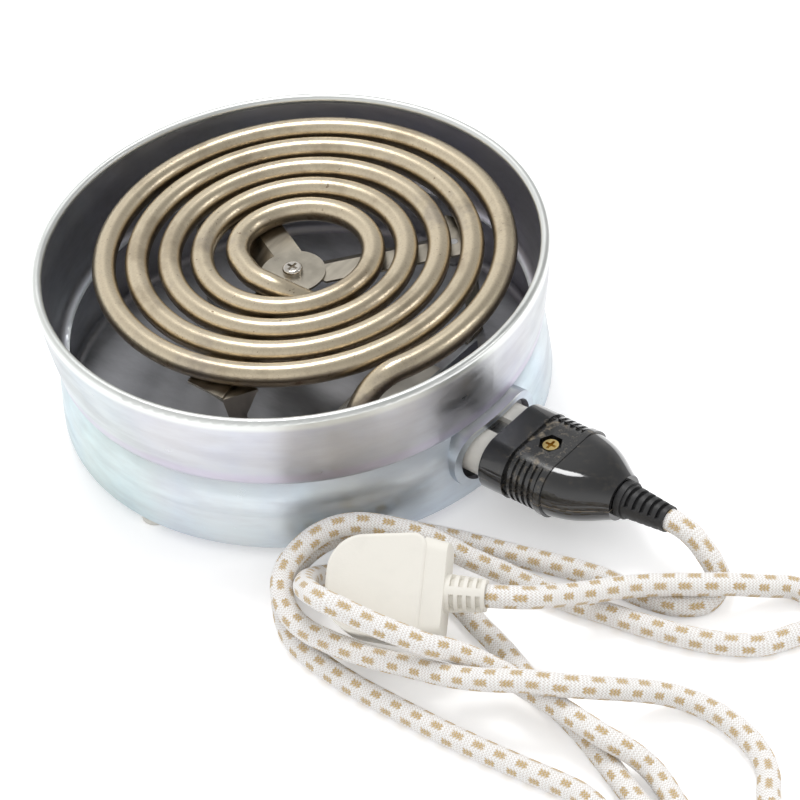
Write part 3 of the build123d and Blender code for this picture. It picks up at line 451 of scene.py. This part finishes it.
def plated_zinc(metals):
    """Zinc plate: level streaks, violet and gold clouds, a cyan cast below the crease and a violet blush
    above it, paler metal on the rolled rim, and a painted highlight along the crease."""
    dull_share, violet_share, gold_share, blush_share, pale_rim_and_highlight_share = 0.30, 0.32, 0.30, 0.40, 0.85
    streak_rough, grain_rough, outside_rough, inside_rough = 0.16, 0.18, 0.21, 0.26
    bench, shader, material = new_finish("plated_zinc", Metallic=1.0)
    place = bench.object_place()
    x, y, z = bench.split(place)
    nx, ny, _ = bench.split(bench.facing())
    outward = bench.plus(bench.times(x, nx), bench.times(y, ny))
    outside = bench.ramp(outward, low=-0.02, high=0.02)
    streaks = bench.group(build_rolled_streaks, Vector=place,
                          Height=metals.streak_height, Length=metals.streak_length)
    clouds = bench.group(build_rolled_streaks, Vector=place,
                         Height=metals.cloud_height, Length=metals.cloud_length)
    grain = bench.group(build_speckle, Vector=place, Grain=metals.zinc_grain)

    def band(height, far, near):
        """One at this height, falling to none at the far distance above and below it."""
        return bench.ramp(bench.apart(z, height), low=far, high=near)

    tone = bench.mix(bench.ramp(z, *CYAN_BAND), metals.zinc, metals.zinc_cyan)
    tone = bench.mix(outside, metals.zinc_inside, tone)
    tone = bench.mix(bench.times(streaks["Mask"], dull_share), tone, dimmed(metals.zinc_inside, 0.55))
    tone = bench.mix(bench.times(clouds["Patches"], violet_share), tone, metals.zinc_violet)
    clear = bench.minus(1.0, clouds["Mask"])
    tone = bench.mix(bench.times(clear, gold_share), tone, metals.zinc_gold)
    blush = bench.times(band(metals.blush_height, far=0.0045, near=0.0005), outside)
    tone = bench.mix(bench.times(blush, blush_share), tone, metals.zinc_violet)
    # Painted highlight: paler metal in a thin band along the crease on the outside; the rim above is paler
    # too
    crease = bench.times(band(metals.crease_highlight_height, far=0.0016, near=0.0004), outside)
    pale_rim_and_crease_highlight = bench.larger(bench.ramp(z, *RIM_BAND), crease)
    tone = bench.mix(bench.times(pale_rim_and_crease_highlight, pale_rim_and_highlight_share), tone, metals.rim)
    rough = bench.plus(bench.times(streaks["Mask"], streak_rough), bench.times(grain["Broad"], grain_rough))
    rough = bench.plus(rough, bench.ramp(outside, low=0.0, high=1.0, start=inside_rough, end=outside_rough))
    relief = bench.plus(grain["Fine"], streaks["Mask"])
    bench.wire(shader, Base_Color=tone, Roughness=rough,
               Normal=bench.bump(relief, strength=0.05, distance=0.0004))
    return material


def wiped_base(metals):
    """Floor of the drum: zinc sheet with wiped streaks, seen between the turns of the tube."""
    bench, shader, material = new_finish("wiped_base", Metallic=0.7)
    place = bench.object_place()
    wiped = bench.noise(bench.stretch(place, BASE_BRUSHING), scale=1.0, detail=5.0, rough=0.6)
    grain = bench.group(build_speckle, Vector=place, Grain=BASE_GRAIN)
    tone = bench.mix(bench.ramp(wiped, low=0.35, high=0.7), metals.base, dimmed(metals.base, 0.55))
    bench.wire(shader, Base_Color=tone, Roughness=bench.ramp(wiped, low=0.3, high=0.7, start=0.34, end=0.50),
               Normal=bench.bump(grain["Fine"], strength=0.12, distance=0.0004))
    return material


def heated_tube(metals):
    """Heating tube: a painted highlight where it faces up and painted shade in brown on its sides, stains
    kept to its sides and underside as partly painted shade, with grey scorch, pits and grain.
    """
    cloud_reach, stain_share, patch_share, scorch_share = 0.5, 0.85, 0.45, 0.45
    grain_rough, stain_rough, least_rough = 0.14, 0.2, 0.24
    bench, shader, material = new_finish("heated_tube", Metallic=1.0)
    place = bench.object_place()
    up = bench.split(bench.facing())[2]
    grain = bench.group(build_speckle, Vector=place, Grain=TUBE_GRAIN)
    cloud = bench.minus(bench.noise(place, scale=55.0, detail=4.0, rough=0.6), 0.5)
    # Painted highlight and painted shade: lighter where the tube faces up, brown where it faces sideways
    lit = bench.plus(up, bench.times(cloud, cloud_reach))
    tone = bench.mix(bench.ramp(lit, low=-0.15, high=0.75), metals.tube_shaded_brown, metals.tube_lit_top)
    # Stains only where the tube faces sideways or down: real heat stains, partly painted shade under the tube
    low = bench.minus(1.0, bench.ramp(up, low=0.0, high=0.65))
    stain = bench.ramp(bench.noise(place, scale=130.0, detail=5.0, rough=0.7), low=0.52, high=0.72)
    stain = bench.times(stain, low)
    tone = bench.mix(bench.times(stain, stain_share), tone, metals.stain)
    patch = bench.ramp(bench.noise(place, scale=38.0, detail=4.0, rough=0.65), low=0.50, high=0.68)
    tone = bench.mix(bench.times(patch, patch_share), tone, metals.tube_shaded_brown)
    scorch = bench.ramp(bench.noise(place, scale=24.0, detail=4.0, rough=0.7), low=0.54, high=0.68)
    tone = bench.mix(bench.times(scorch, scorch_share), tone, metals.scorch)
    pit = bench.noise(place, scale=520.0, detail=2.0, rough=0.5)
    tone = bench.mix(bench.ramp(pit, low=0.70, high=0.76, end=0.7), tone, metals.stain)
    tone = bench.mix(bench.ramp(grain["Fine"], low=0.45, high=0.75, end=0.18), tone, metals.stain)
    rough = bench.plus(bench.times(grain["Fine"], grain_rough), bench.times(stain, stain_rough))
    bench.wire(shader, Base_Color=tone, Roughness=bench.plus(rough, least_rough),
               Normal=bench.bump(grain["Fine"], strength=0.16, distance=0.0003))
    return material


def brushed(name, tint, rough=0.30, across=SHEET_BRUSHING, depth=0.10):
    """Satin sheet or turned metal: noise stretched one way for the brushing, with a few dull clouds."""
    bench, shader, material = new_finish(name, Metallic=1.0)
    place = bench.object_place()
    lines = bench.noise(bench.stretch(place, across), scale=1.0, detail=4.0, rough=0.6)
    cloud = bench.noise(place, scale=60.0, detail=3.0)
    tone = bench.mix(bench.ramp(lines, low=0.3, high=0.7), dimmed(tint, 0.78), tint)
    tone = bench.mix(bench.ramp(cloud, low=0.52, high=0.75, end=0.4), tone, dimmed(tint, 0.6))
    bench.wire(shader, Base_Color=tone,
               Roughness=bench.ramp(lines, low=0.2, high=0.8, start=rough - 0.06, end=rough + 0.10),
               Normal=bench.bump(lines, strength=depth, distance=0.0003))
    return material


def glossy_moulding(plastics):
    """Black moulding: wavy gloss, dust on its grip, and the seam between its shells."""
    dust_amount, grip_dust, other_dust, seam_dust = 0.55, 0.85, 0.10, 0.55
    grip_rough, dust_rough, least_rough = 0.14, 0.35, 0.13
    wave_depth = 5.0
    bench, shader, material = new_finish("glossy_moulding", Coat_Weight=1.0, Coat_Roughness=0.06)
    place = bench.object_place()
    x, _, z = bench.split(place)
    dust = bench.group(build_settled_dust, Vector=place, Normal=bench.facing(),
                       Grain=DUST_GRAIN, Amount=dust_amount)
    grain = bench.group(build_speckle, Vector=place, Grain=SHELL_GRAIN)
    grip = bench.times(bench.ramp(x, *GRIP_BACK), bench.ramp(x, *GRIP_FRONT))
    seam = bench.math("LESS_THAN", bench.apart(z, plastics.seam_height), plastics.seam_width / 2)
    seam = bench.times(seam, bench.ramp(bench.noise(place, scale=160.0), low=0.38, high=0.55))
    held = bench.plus(bench.times(grip, grip_dust), other_dust)
    amount = bench.plus(bench.times(dust["Mask"], held), bench.times(seam, seam_dust))
    wavy = bench.times(bench.noise(place, scale=95.0, detail=2.0, rough=0.4), wave_depth)
    rough = bench.plus(bench.times(grip, grip_rough), bench.times(amount, dust_rough))
    bench.wire(shader, Base_Color=bench.mix(amount, plastics.connector, plastics.dust),
               Roughness=bench.plus(rough, least_rough),
               Normal=bench.bump(bench.plus(grain["Fine"], wavy), strength=0.10, distance=0.0004))
    return material


def matte_moulding(name, tint, rough, grain_size=0.0010, stained=0.12):
    """Matte moulding or ceramic: even tint with faint handling marks and a fine grain."""
    rough_swing = 0.08
    bench, shader, material = new_finish(name)
    place = bench.object_place()
    grain = bench.group(build_speckle, Vector=place, Grain=grain_size)
    marks = bench.ramp(grain["Broad"], low=0.45, high=0.75, end=stained)
    bench.wire(shader, Base_Color=bench.mix(marks, tint, dimmed(tint, 0.62)),
               Roughness=bench.ramp(grain["Fine"], low=0.2, high=0.8, start=rough - rough_swing,
                                    end=rough + rough_swing),
               Normal=bench.bump(grain["Fine"], strength=0.18, distance=0.0003))
    return material


def woven_sleeve(plastics):
    """Woven sleeve of the leads: small leaning squares from two crossed waves."""
    radians_per_metre = 5200.0
    bench, shader, material = new_finish("woven_sleeve", Sheen_Weight=0.2)
    x, y, z = bench.split(bench.object_place())
    one_way = bench.plus(bench.plus(x, y), z)
    other_way = bench.minus(bench.minus(x, y), z)
    waves = [bench.math("SINE", bench.times(way, radians_per_metre)) for way in (one_way, other_way)]
    weave = bench.ramp(bench.times(*waves), low=-0.6, high=0.6)
    # Painted shade: the sleeve is darker where the weave is low, between the squares
    bench.wire(shader, Base_Color=bench.mix(weave, dimmed(plastics.sleeve, 0.6), plastics.sleeve),
               Roughness=bench.ramp(weave, low=0.0, high=1.0, start=0.85, end=0.65),
               Normal=bench.bump(weave, strength=0.3, distance=0.0003))
    return material


def braided_yarn(cord):
    """Braid of the mains cord: white yarn with rows of tan ticks, in relief, with a little fuzz."""
    fuzz_share = 0.25
    bench, shader, material = new_finish("braided_yarn", Sheen_Weight=0.25, Sheen_Roughness=0.5)
    place = bench.add("ShaderNodeUVMap", uv_map=BRAID_MAP).outputs[0]
    parts = bench.group(build_braid, Vector=place, Stitches=float(cord.stitches),
                        Strand_pitch=cord.strand_pitch, Rows=float(cord.rows), Tick_pitch=cord.tick_pitch,
                        Tick_length=cord.tick_length, Twist=cord.twist)
    # Painted shade: both yarns darken where the braid is low, between the stitches
    pale = bench.mix(parts["Shade"], cord.groove_shade, cord.white)
    dark = bench.mix(parts["Shade"], dimmed(cord.tan, 0.62), cord.tan)
    fuzz = bench.times(bench.noise(bench.object_place(), scale=900.0, detail=2.0), fuzz_share)
    bench.wire(shader, Base_Color=bench.mix(parts["Tick"], pale, dark),
               Roughness=bench.ramp(parts["Height"], low=0.0, high=1.0, start=0.85, end=0.62),
               Normal=bench.bump(bench.plus(parts["Height"], fuzz), strength=0.55, distance=0.0005))
    return material


# ---------------------------------------------------------------- surfaces

def put_mesh(name, points, faces, material, uvs=None):
    """A new object at the origin from points and quads or triangles; UVs are one pair for each corner."""
    mesh = bpy.data.meshes.new(name)
    mesh.from_pydata(points.tolist(), [], faces)
    if uvs is not None:
        layer = mesh.uv_layers.new(name=BRAID_MAP)
        layer.data.foreach_set("uv", np.asarray(uvs, np.float32).ravel())
    mesh.shade_smooth()
    mesh.materials.append(material)
    piece = bpy.data.objects.new(name, mesh)
    bpy.context.scene.collection.objects.link(piece)
    return piece


def spline_points(route, steps):
    """Points along the NURBS spline whose control points are the route, each at a place of its own."""
    least_step = 1e-7
    curve = bpy.data.curves.new("cord_line", "CURVE")
    curve.dimensions = "3D"
    curve.resolution_u = steps
    spline = curve.splines.new("NURBS")
    spline.points.add(len(route) - 1)
    spline.points.foreach_set("co", np.column_stack([np.array(route), np.ones(len(route))]).ravel())
    spline.order_u = 3
    spline.use_endpoint_u = True
    holder = bpy.data.objects.new("cord_line", curve)
    bpy.context.scene.collection.objects.link(holder)
    line = bpy.data.meshes.new_from_object(holder)
    points = np.zeros(len(line.vertices) * 3)
    line.vertices.foreach_get("co", points)
    bpy.data.objects.remove(holder)
    bpy.data.meshes.remove(line)
    points = points.reshape(-1, 3)
    apart = np.linalg.norm(np.diff(points, axis=0), axis=1) > least_step
    return points[np.concatenate([[True], apart])]


def carried_frames(points):
    """Two directions square to the path at each point: a side is the one before it less its part along the
    path, and the other is the path's direction crossed with it."""
    tangents = np.gradient(points, axis=0)
    tangents /= np.linalg.norm(tangents, axis=1)[:, None]
    sides = np.empty_like(points)
    side = np.array([0.0, 1.0, 0.0])
    for k, way in enumerate(tangents):
        side = side - way * (side @ way)
        side = side / np.linalg.norm(side)
        sides[k] = side
    return sides, np.cross(tangents, sides)


def round_tube(points, radius, sides):
    """Circle of that radius carried along the points, closed by a fan at each end: its vertices, faces, UVs
    in turns and metres, and its length."""
    side, other = carried_frames(points)
    angle = np.linspace(0.0, 2.0 * np.pi, sides, endpoint=False)
    cosines, sines = np.cos(angle)[None, :, None], np.sin(angle)[None, :, None]
    grid = points[:, None] + radius * (cosines * side[:, None] + sines * other[:, None])
    rings = len(points)
    rows, columns = np.meshgrid(np.arange(rings - 1), np.arange(sides), indexing="ij")
    after = (columns + 1) % sides
    quads = np.stack([rows * sides + columns, rows * sides + after,
                      (rows + 1) * sides + after, (rows + 1) * sides + columns], axis=-1)
    length = np.concatenate([[0.0], np.cumsum(np.linalg.norm(np.diff(points, axis=0), axis=1))])
    turns = np.stack([columns, columns + 1, columns + 1, columns], axis=-1) / sides
    metres = length[np.stack([rows, rows, rows + 1, rows + 1], axis=-1)]
    uvs = np.stack([turns, metres], axis=-1).reshape(-1, 2)
    vertices = np.concatenate([grid.reshape(-1, 3), points[:1], points[-1:]])
    around = np.arange(sides)
    hub = rings * sides
    end = hub - sides
    first = [[hub, (k + 1) % sides, k] for k in around]
    last = [[hub + 1, end + k, end + (k + 1) % sides] for k in around]
    fan_uv = [[0.0, 0.0]] * (3 * sides) + [[0.0, length[-1]]] * (3 * sides)
    faces = quads.reshape(-1, 4).tolist() + first + last
    return vertices, faces, np.concatenate([uvs, np.array(fan_uv)]), length[-1]


# ---------------------------------------------------------------- operators

class HOTPLATE_OT_studio(bpy.types.Operator):
    """Camera, pale floor, soft lights and world"""
    bl_idname = "hotplate.studio"
    bl_label = "Studio"

    def execute(self, context):
        studio = context.scene.hotplate_studio
        scene = context.scene
        self.camera(scene, studio)
        self.floor(studio)
        self.lamp(scene, "key_light", studio.key, studio.key_width, studio.key_place)
        self.lamp(scene, "fill_light", studio.fill, studio.key_width / 2, studio.fill_place)
        self.world(scene, studio)
        scene.view_settings.view_transform = "Standard"
        return {"FINISHED"}

    def camera(self, scene, studio):
        """Camera at its place, looking at its aim and leaned about that line by its roll."""
        camera = bpy.data.objects.new("camera", bpy.data.cameras.new("camera"))
        scene.collection.objects.link(camera)
        camera.data.lens = studio.lens
        camera.data.sensor_width = SENSOR_WIDTH
        camera.data.clip_end = CLIP_END
        place, aim = Vector(studio.place), Vector(studio.aim)
        ahead = (aim - place).normalized()
        level = ahead.cross(Vector((0.0, 0.0, 1.0))).normalized()
        right = math.cos(studio.roll) * level + math.sin(studio.roll) * level.cross(ahead)
        up = (-ahead).cross(right)
        camera.matrix_world = Matrix.Translation(place) @ Matrix((right, up, -ahead)).transposed().to_4x4()
        scene.camera = camera

    def floor(self, studio):
        """Square floor; white is added where the camera or a mirror sees it."""
        bench, shader, material = new_finish("pale_floor", Roughness=0.9, Specular_IOR_Level=0.1,
                                             Emission_Color=(1.0, 1.0, 1.0))
        cloud = bench.noise(bench.object_place(), scale=1.2, detail=2.0)
        tint = bench.mix(bench.ramp(cloud, low=0.3, high=0.7), studio.floor, dimmed(studio.floor, 0.99))
        ray = bench.add("ShaderNodeLightPath").outputs
        shown = bench.larger(ray["Is Camera Ray"], ray["Is Glossy Ray"])
        bench.wire(shader, Base_Color=tint, Emission_Strength=bench.times(shown, studio.floor_lift))
        half = studio.floor_half
        corners = np.array([(-half, -half, 0.0), (half, -half, 0.0), (half, half, 0.0), (-half, half, 0.0)])
        put_mesh("pale_floor", corners, [[0, 1, 2, 3]], material)

    def lamp(self, scene, name, watts, width, place):
        """Round area light that looks at the drum."""
        data = bpy.data.lights.new(name, "AREA")
        data.energy, data.size, data.shape = watts, width, "DISK"
        lamp = bpy.data.objects.new(name, data)
        scene.collection.objects.link(lamp)
        lamp.location = place
        lamp.rotation_mode = "QUATERNION"
        lamp.rotation_quaternion = (Vector(LAMP_AIM) - Vector(place)).to_track_quat("-Z", "Y")

    def world(self, scene, studio):
        """White to the camera, darker overhead and to the right in mirrors, and even light elsewhere."""
        world = bpy.data.worlds.new("studio")
        world.use_nodes = True
        scene.world = world
        bench = Bench(world.node_tree)
        ray = bench.add("ShaderNodeLightPath").outputs
        x, y, height = bench.split(bench.add("ShaderNodeTexCoord").outputs["Generated"])
        side = bench.ramp(bench.plus(x, y), low=-0.5, high=1.0, start=1.0, end=studio.right_side)
        above = bench.ramp(height, low=0.25, high=0.95, start=1.0, end=studio.zenith)
        shown = bench.larger(ray["Is Camera Ray"], ray["Is Transmission Ray"])
        mirrored = bench.times(ray["Is Glossy Ray"], bench.times(side, above))
        even = bench.times(ray["Is Diffuse Ray"], studio.ambient)
        strength = bench.larger(bench.larger(shown, mirrored), even)
        bench.wire(world.node_tree.nodes["Background"].inputs, Color=(1.0, 1.0, 1.0), Strength=strength)


class HOTPLATE_OT_cord(bpy.types.Operator):
    """Braided mains cord along its route"""
    bl_idname = "hotplate.cord"
    bl_label = "Cord"

    def execute(self, context):
        cord = context.scene.hotplate_cord
        points = spline_points(CORD_ROUTE, cord.steps)
        vertices, faces, uvs, length = round_tube(points, cord.diameter / 2, cord.sides)
        piece = put_mesh("cord_braid", vertices, faces, braided_yarn(cord), uvs)
        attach(piece, "cord_set")
        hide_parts("cord")
        return {"FINISHED"}


class HOTPLATE_OT_drum(bpy.types.Operator):
    """Plated drum, its base, feet and rivets"""
    bl_idname = "hotplate.drum"
    bl_label = "Drum"

    def execute(self, context):
        metals, plastics = context.scene.hotplate_metals, context.scene.hotplate_mouldings
        dress(plated_zinc(metals), "drum_shell")
        dress(wiped_base(metals), "base_plate")
        dress(matte_moulding("foot_rubber", plastics.pads, rough=0.7), "foot_pads")
        dress(brushed("rivet_steel", metals.rivets), "foot_rivets", "bracket_rivets")
        return {"FINISHED"}


class HOTPLATE_OT_coil(bpy.types.Operator):
    """Heating tube with its seals and terminals"""
    bl_idname = "hotplate.coil"
    bl_label = "Heating tube"

    def execute(self, context):
        metals, plastics = context.scene.hotplate_metals, context.scene.hotplate_mouldings
        dress(heated_tube(metals), "heating_coil")
        dress(matte_moulding("seal_ceramic", plastics.ceramic, rough=0.6), "coil_end_seals")
        dress(brushed("terminal_steel", metals.terminals), "coil_terminals")
        return {"FINISHED"}


class HOTPLATE_OT_bracket(bpy.types.Operator):
    """Arms, legs and centre clamp under the tube"""
    bl_idname = "hotplate.bracket"
    bl_label = "Bracket"

    def execute(self, context):
        metals = context.scene.hotplate_metals
        dress(brushed("bracket_sheet", metals.bracket, rough=0.33),
              *[name for name in NODES if name.startswith("support_")])
        dress(brushed("clamp_sheet", dimmed(metals.bracket, 0.96), across=EVEN_BRUSHING),
              "clamp_plate", "clamp_backing_plate")
        dress(brushed("bright_screw", metals.clamp_screw, rough=0.14, across=SCREW_BRUSHING),
              "clamp_screw", "clamp_nut")
        return {"FINISHED"}


class HOTPLATE_OT_inlet(bpy.types.Operator):
    """Power inlet and the leads behind it"""
    bl_idname = "hotplate.inlet"
    bl_label = "Inlet and leads"

    def execute(self, context):
        metals, plastics = context.scene.hotplate_metals, context.scene.hotplate_mouldings
        dress(matte_moulding("inlet_ceramic", plastics.ceramic, rough=0.45), "inlet_block")
        dress(brushed("inlet_sheet", metals.inlet_sheet), "inlet_plate")
        dress(brushed("small_screws", metals.inlet_screws, rough=0.24), "inlet_screws", "inlet_screw_nuts")
        dress(brushed("nickel_pin", metals.pins, rough=0.16, across=PIN_BRUSHING, depth=0.05), "inlet_pins")
        dress(brushed("brass_nut", metals.brass, rough=0.25), "inlet_pin_nuts")
        dress(brushed("spring_strip", metals.earth_tongue, rough=0.26), "earth_tongue")
        dress(woven_sleeve(plastics), "lead_outer", "lead_inner")
        return {"FINISHED"}


class HOTPLATE_OT_connector(bpy.types.Operator):
    """Black connector with its pale insert, contacts, screw and boot"""
    bl_idname = "hotplate.connector"
    bl_label = "Connector"

    def execute(self, context):
        metals, plastics = context.scene.hotplate_metals, context.scene.hotplate_mouldings
        dress(glossy_moulding(plastics), "connector_upper_shell", "connector_lower_shell")
        dress(matte_moulding("insert_ceramic", plastics.insert, rough=0.42, grain_size=0.0014, stained=0.35),
              "connector_insert")
        dress(brushed("brass_parts", metals.brass, rough=0.22, across=CONTACT_BRUSHING),
              "connector_screw", "connector_nut", "contact_sleeves")
        dress(brushed("strip_steel", metals.earth_strip, rough=0.28), "connector_earth_strip")
        dress(matte_moulding("core_jacket", plastics.core, rough=0.35), "connector_cores")
        dress(matte_moulding("boot_rubber", plastics.boot, rough=0.48, grain_size=0.0009), "cord_boot")
        return {"FINISHED"}


class HOTPLATE_OT_plug(bpy.types.Operator):
    """Pale mains plug with its relief and blades"""
    bl_idname = "hotplate.plug"
    bl_label = "Plug"

    def execute(self, context):
        metals, plastics = context.scene.hotplate_metals, context.scene.hotplate_mouldings
        dress(matte_moulding("plug_plastic", plastics.plug, rough=0.52, grain_size=0.0012, stained=0.10),
              "plug_body", "plug_strain_relief")
        dress(brushed("blade_brass", metals.brass, rough=0.22, across=BLADE_BRUSHING), "plug_blades")
        return {"FINISHED"}


class HOTPLATE_PT_panel(bpy.types.Panel):
    """Sidebar panel with the settings and the operators"""
    bl_label = "Hotplate"
    bl_idname = "HOTPLATE_PT_panel"
    bl_space_type = "VIEW_3D"
    bl_region_type = "UI"
    bl_category = "Hotplate"

    def draw(self, context):
        for group, operators in PANEL_ROWS:
            box = self.layout.box()
            settings = getattr(context.scene, group)
            for key in settings.__annotations__:
                box.prop(settings, key)
            for operator in operators:
                box.operator(operator.bl_idname)


SETTINGS = {
    "hotplate_metals": HotplateMetals,
    "hotplate_mouldings": HotplateMouldings,
    "hotplate_cord": HotplateCord,
    "hotplate_studio": HotplateStudio,
}
PANEL_ROWS = (
    ("hotplate_studio", (HOTPLATE_OT_studio,)),
    ("hotplate_cord", (HOTPLATE_OT_cord,)),
    ("hotplate_metals", (HOTPLATE_OT_drum, HOTPLATE_OT_coil, HOTPLATE_OT_bracket)),
    ("hotplate_mouldings", (HOTPLATE_OT_inlet, HOTPLATE_OT_connector, HOTPLATE_OT_plug)),
)
OPERATORS = [operator for _, operators in PANEL_ROWS for operator in operators]


def register():
    for made in [*SETTINGS.values(), *OPERATORS, HOTPLATE_PT_panel]:
        bpy.utils.register_class(made)
    for name, group in SETTINGS.items():
        setattr(bpy.types.Scene, name, bpy.props.PointerProperty(type=group))


def unregister():
    for name in SETTINGS:
        delattr(bpy.types.Scene, name)
    for made in reversed([*SETTINGS.values(), *OPERATORS, HOTPLATE_PT_panel]):
        bpy.utils.unregister_class(made)


def main():
    """Make every piece in order."""
    register()
    for operator in OPERATORS:
        family, name = operator.bl_idname.split(".")
        if "FINISHED" not in getattr(getattr(bpy.ops, family), name)():
            raise RuntimeError(f"{operator.bl_idname} did not finish")


if __name__ == "__main__":
    main()
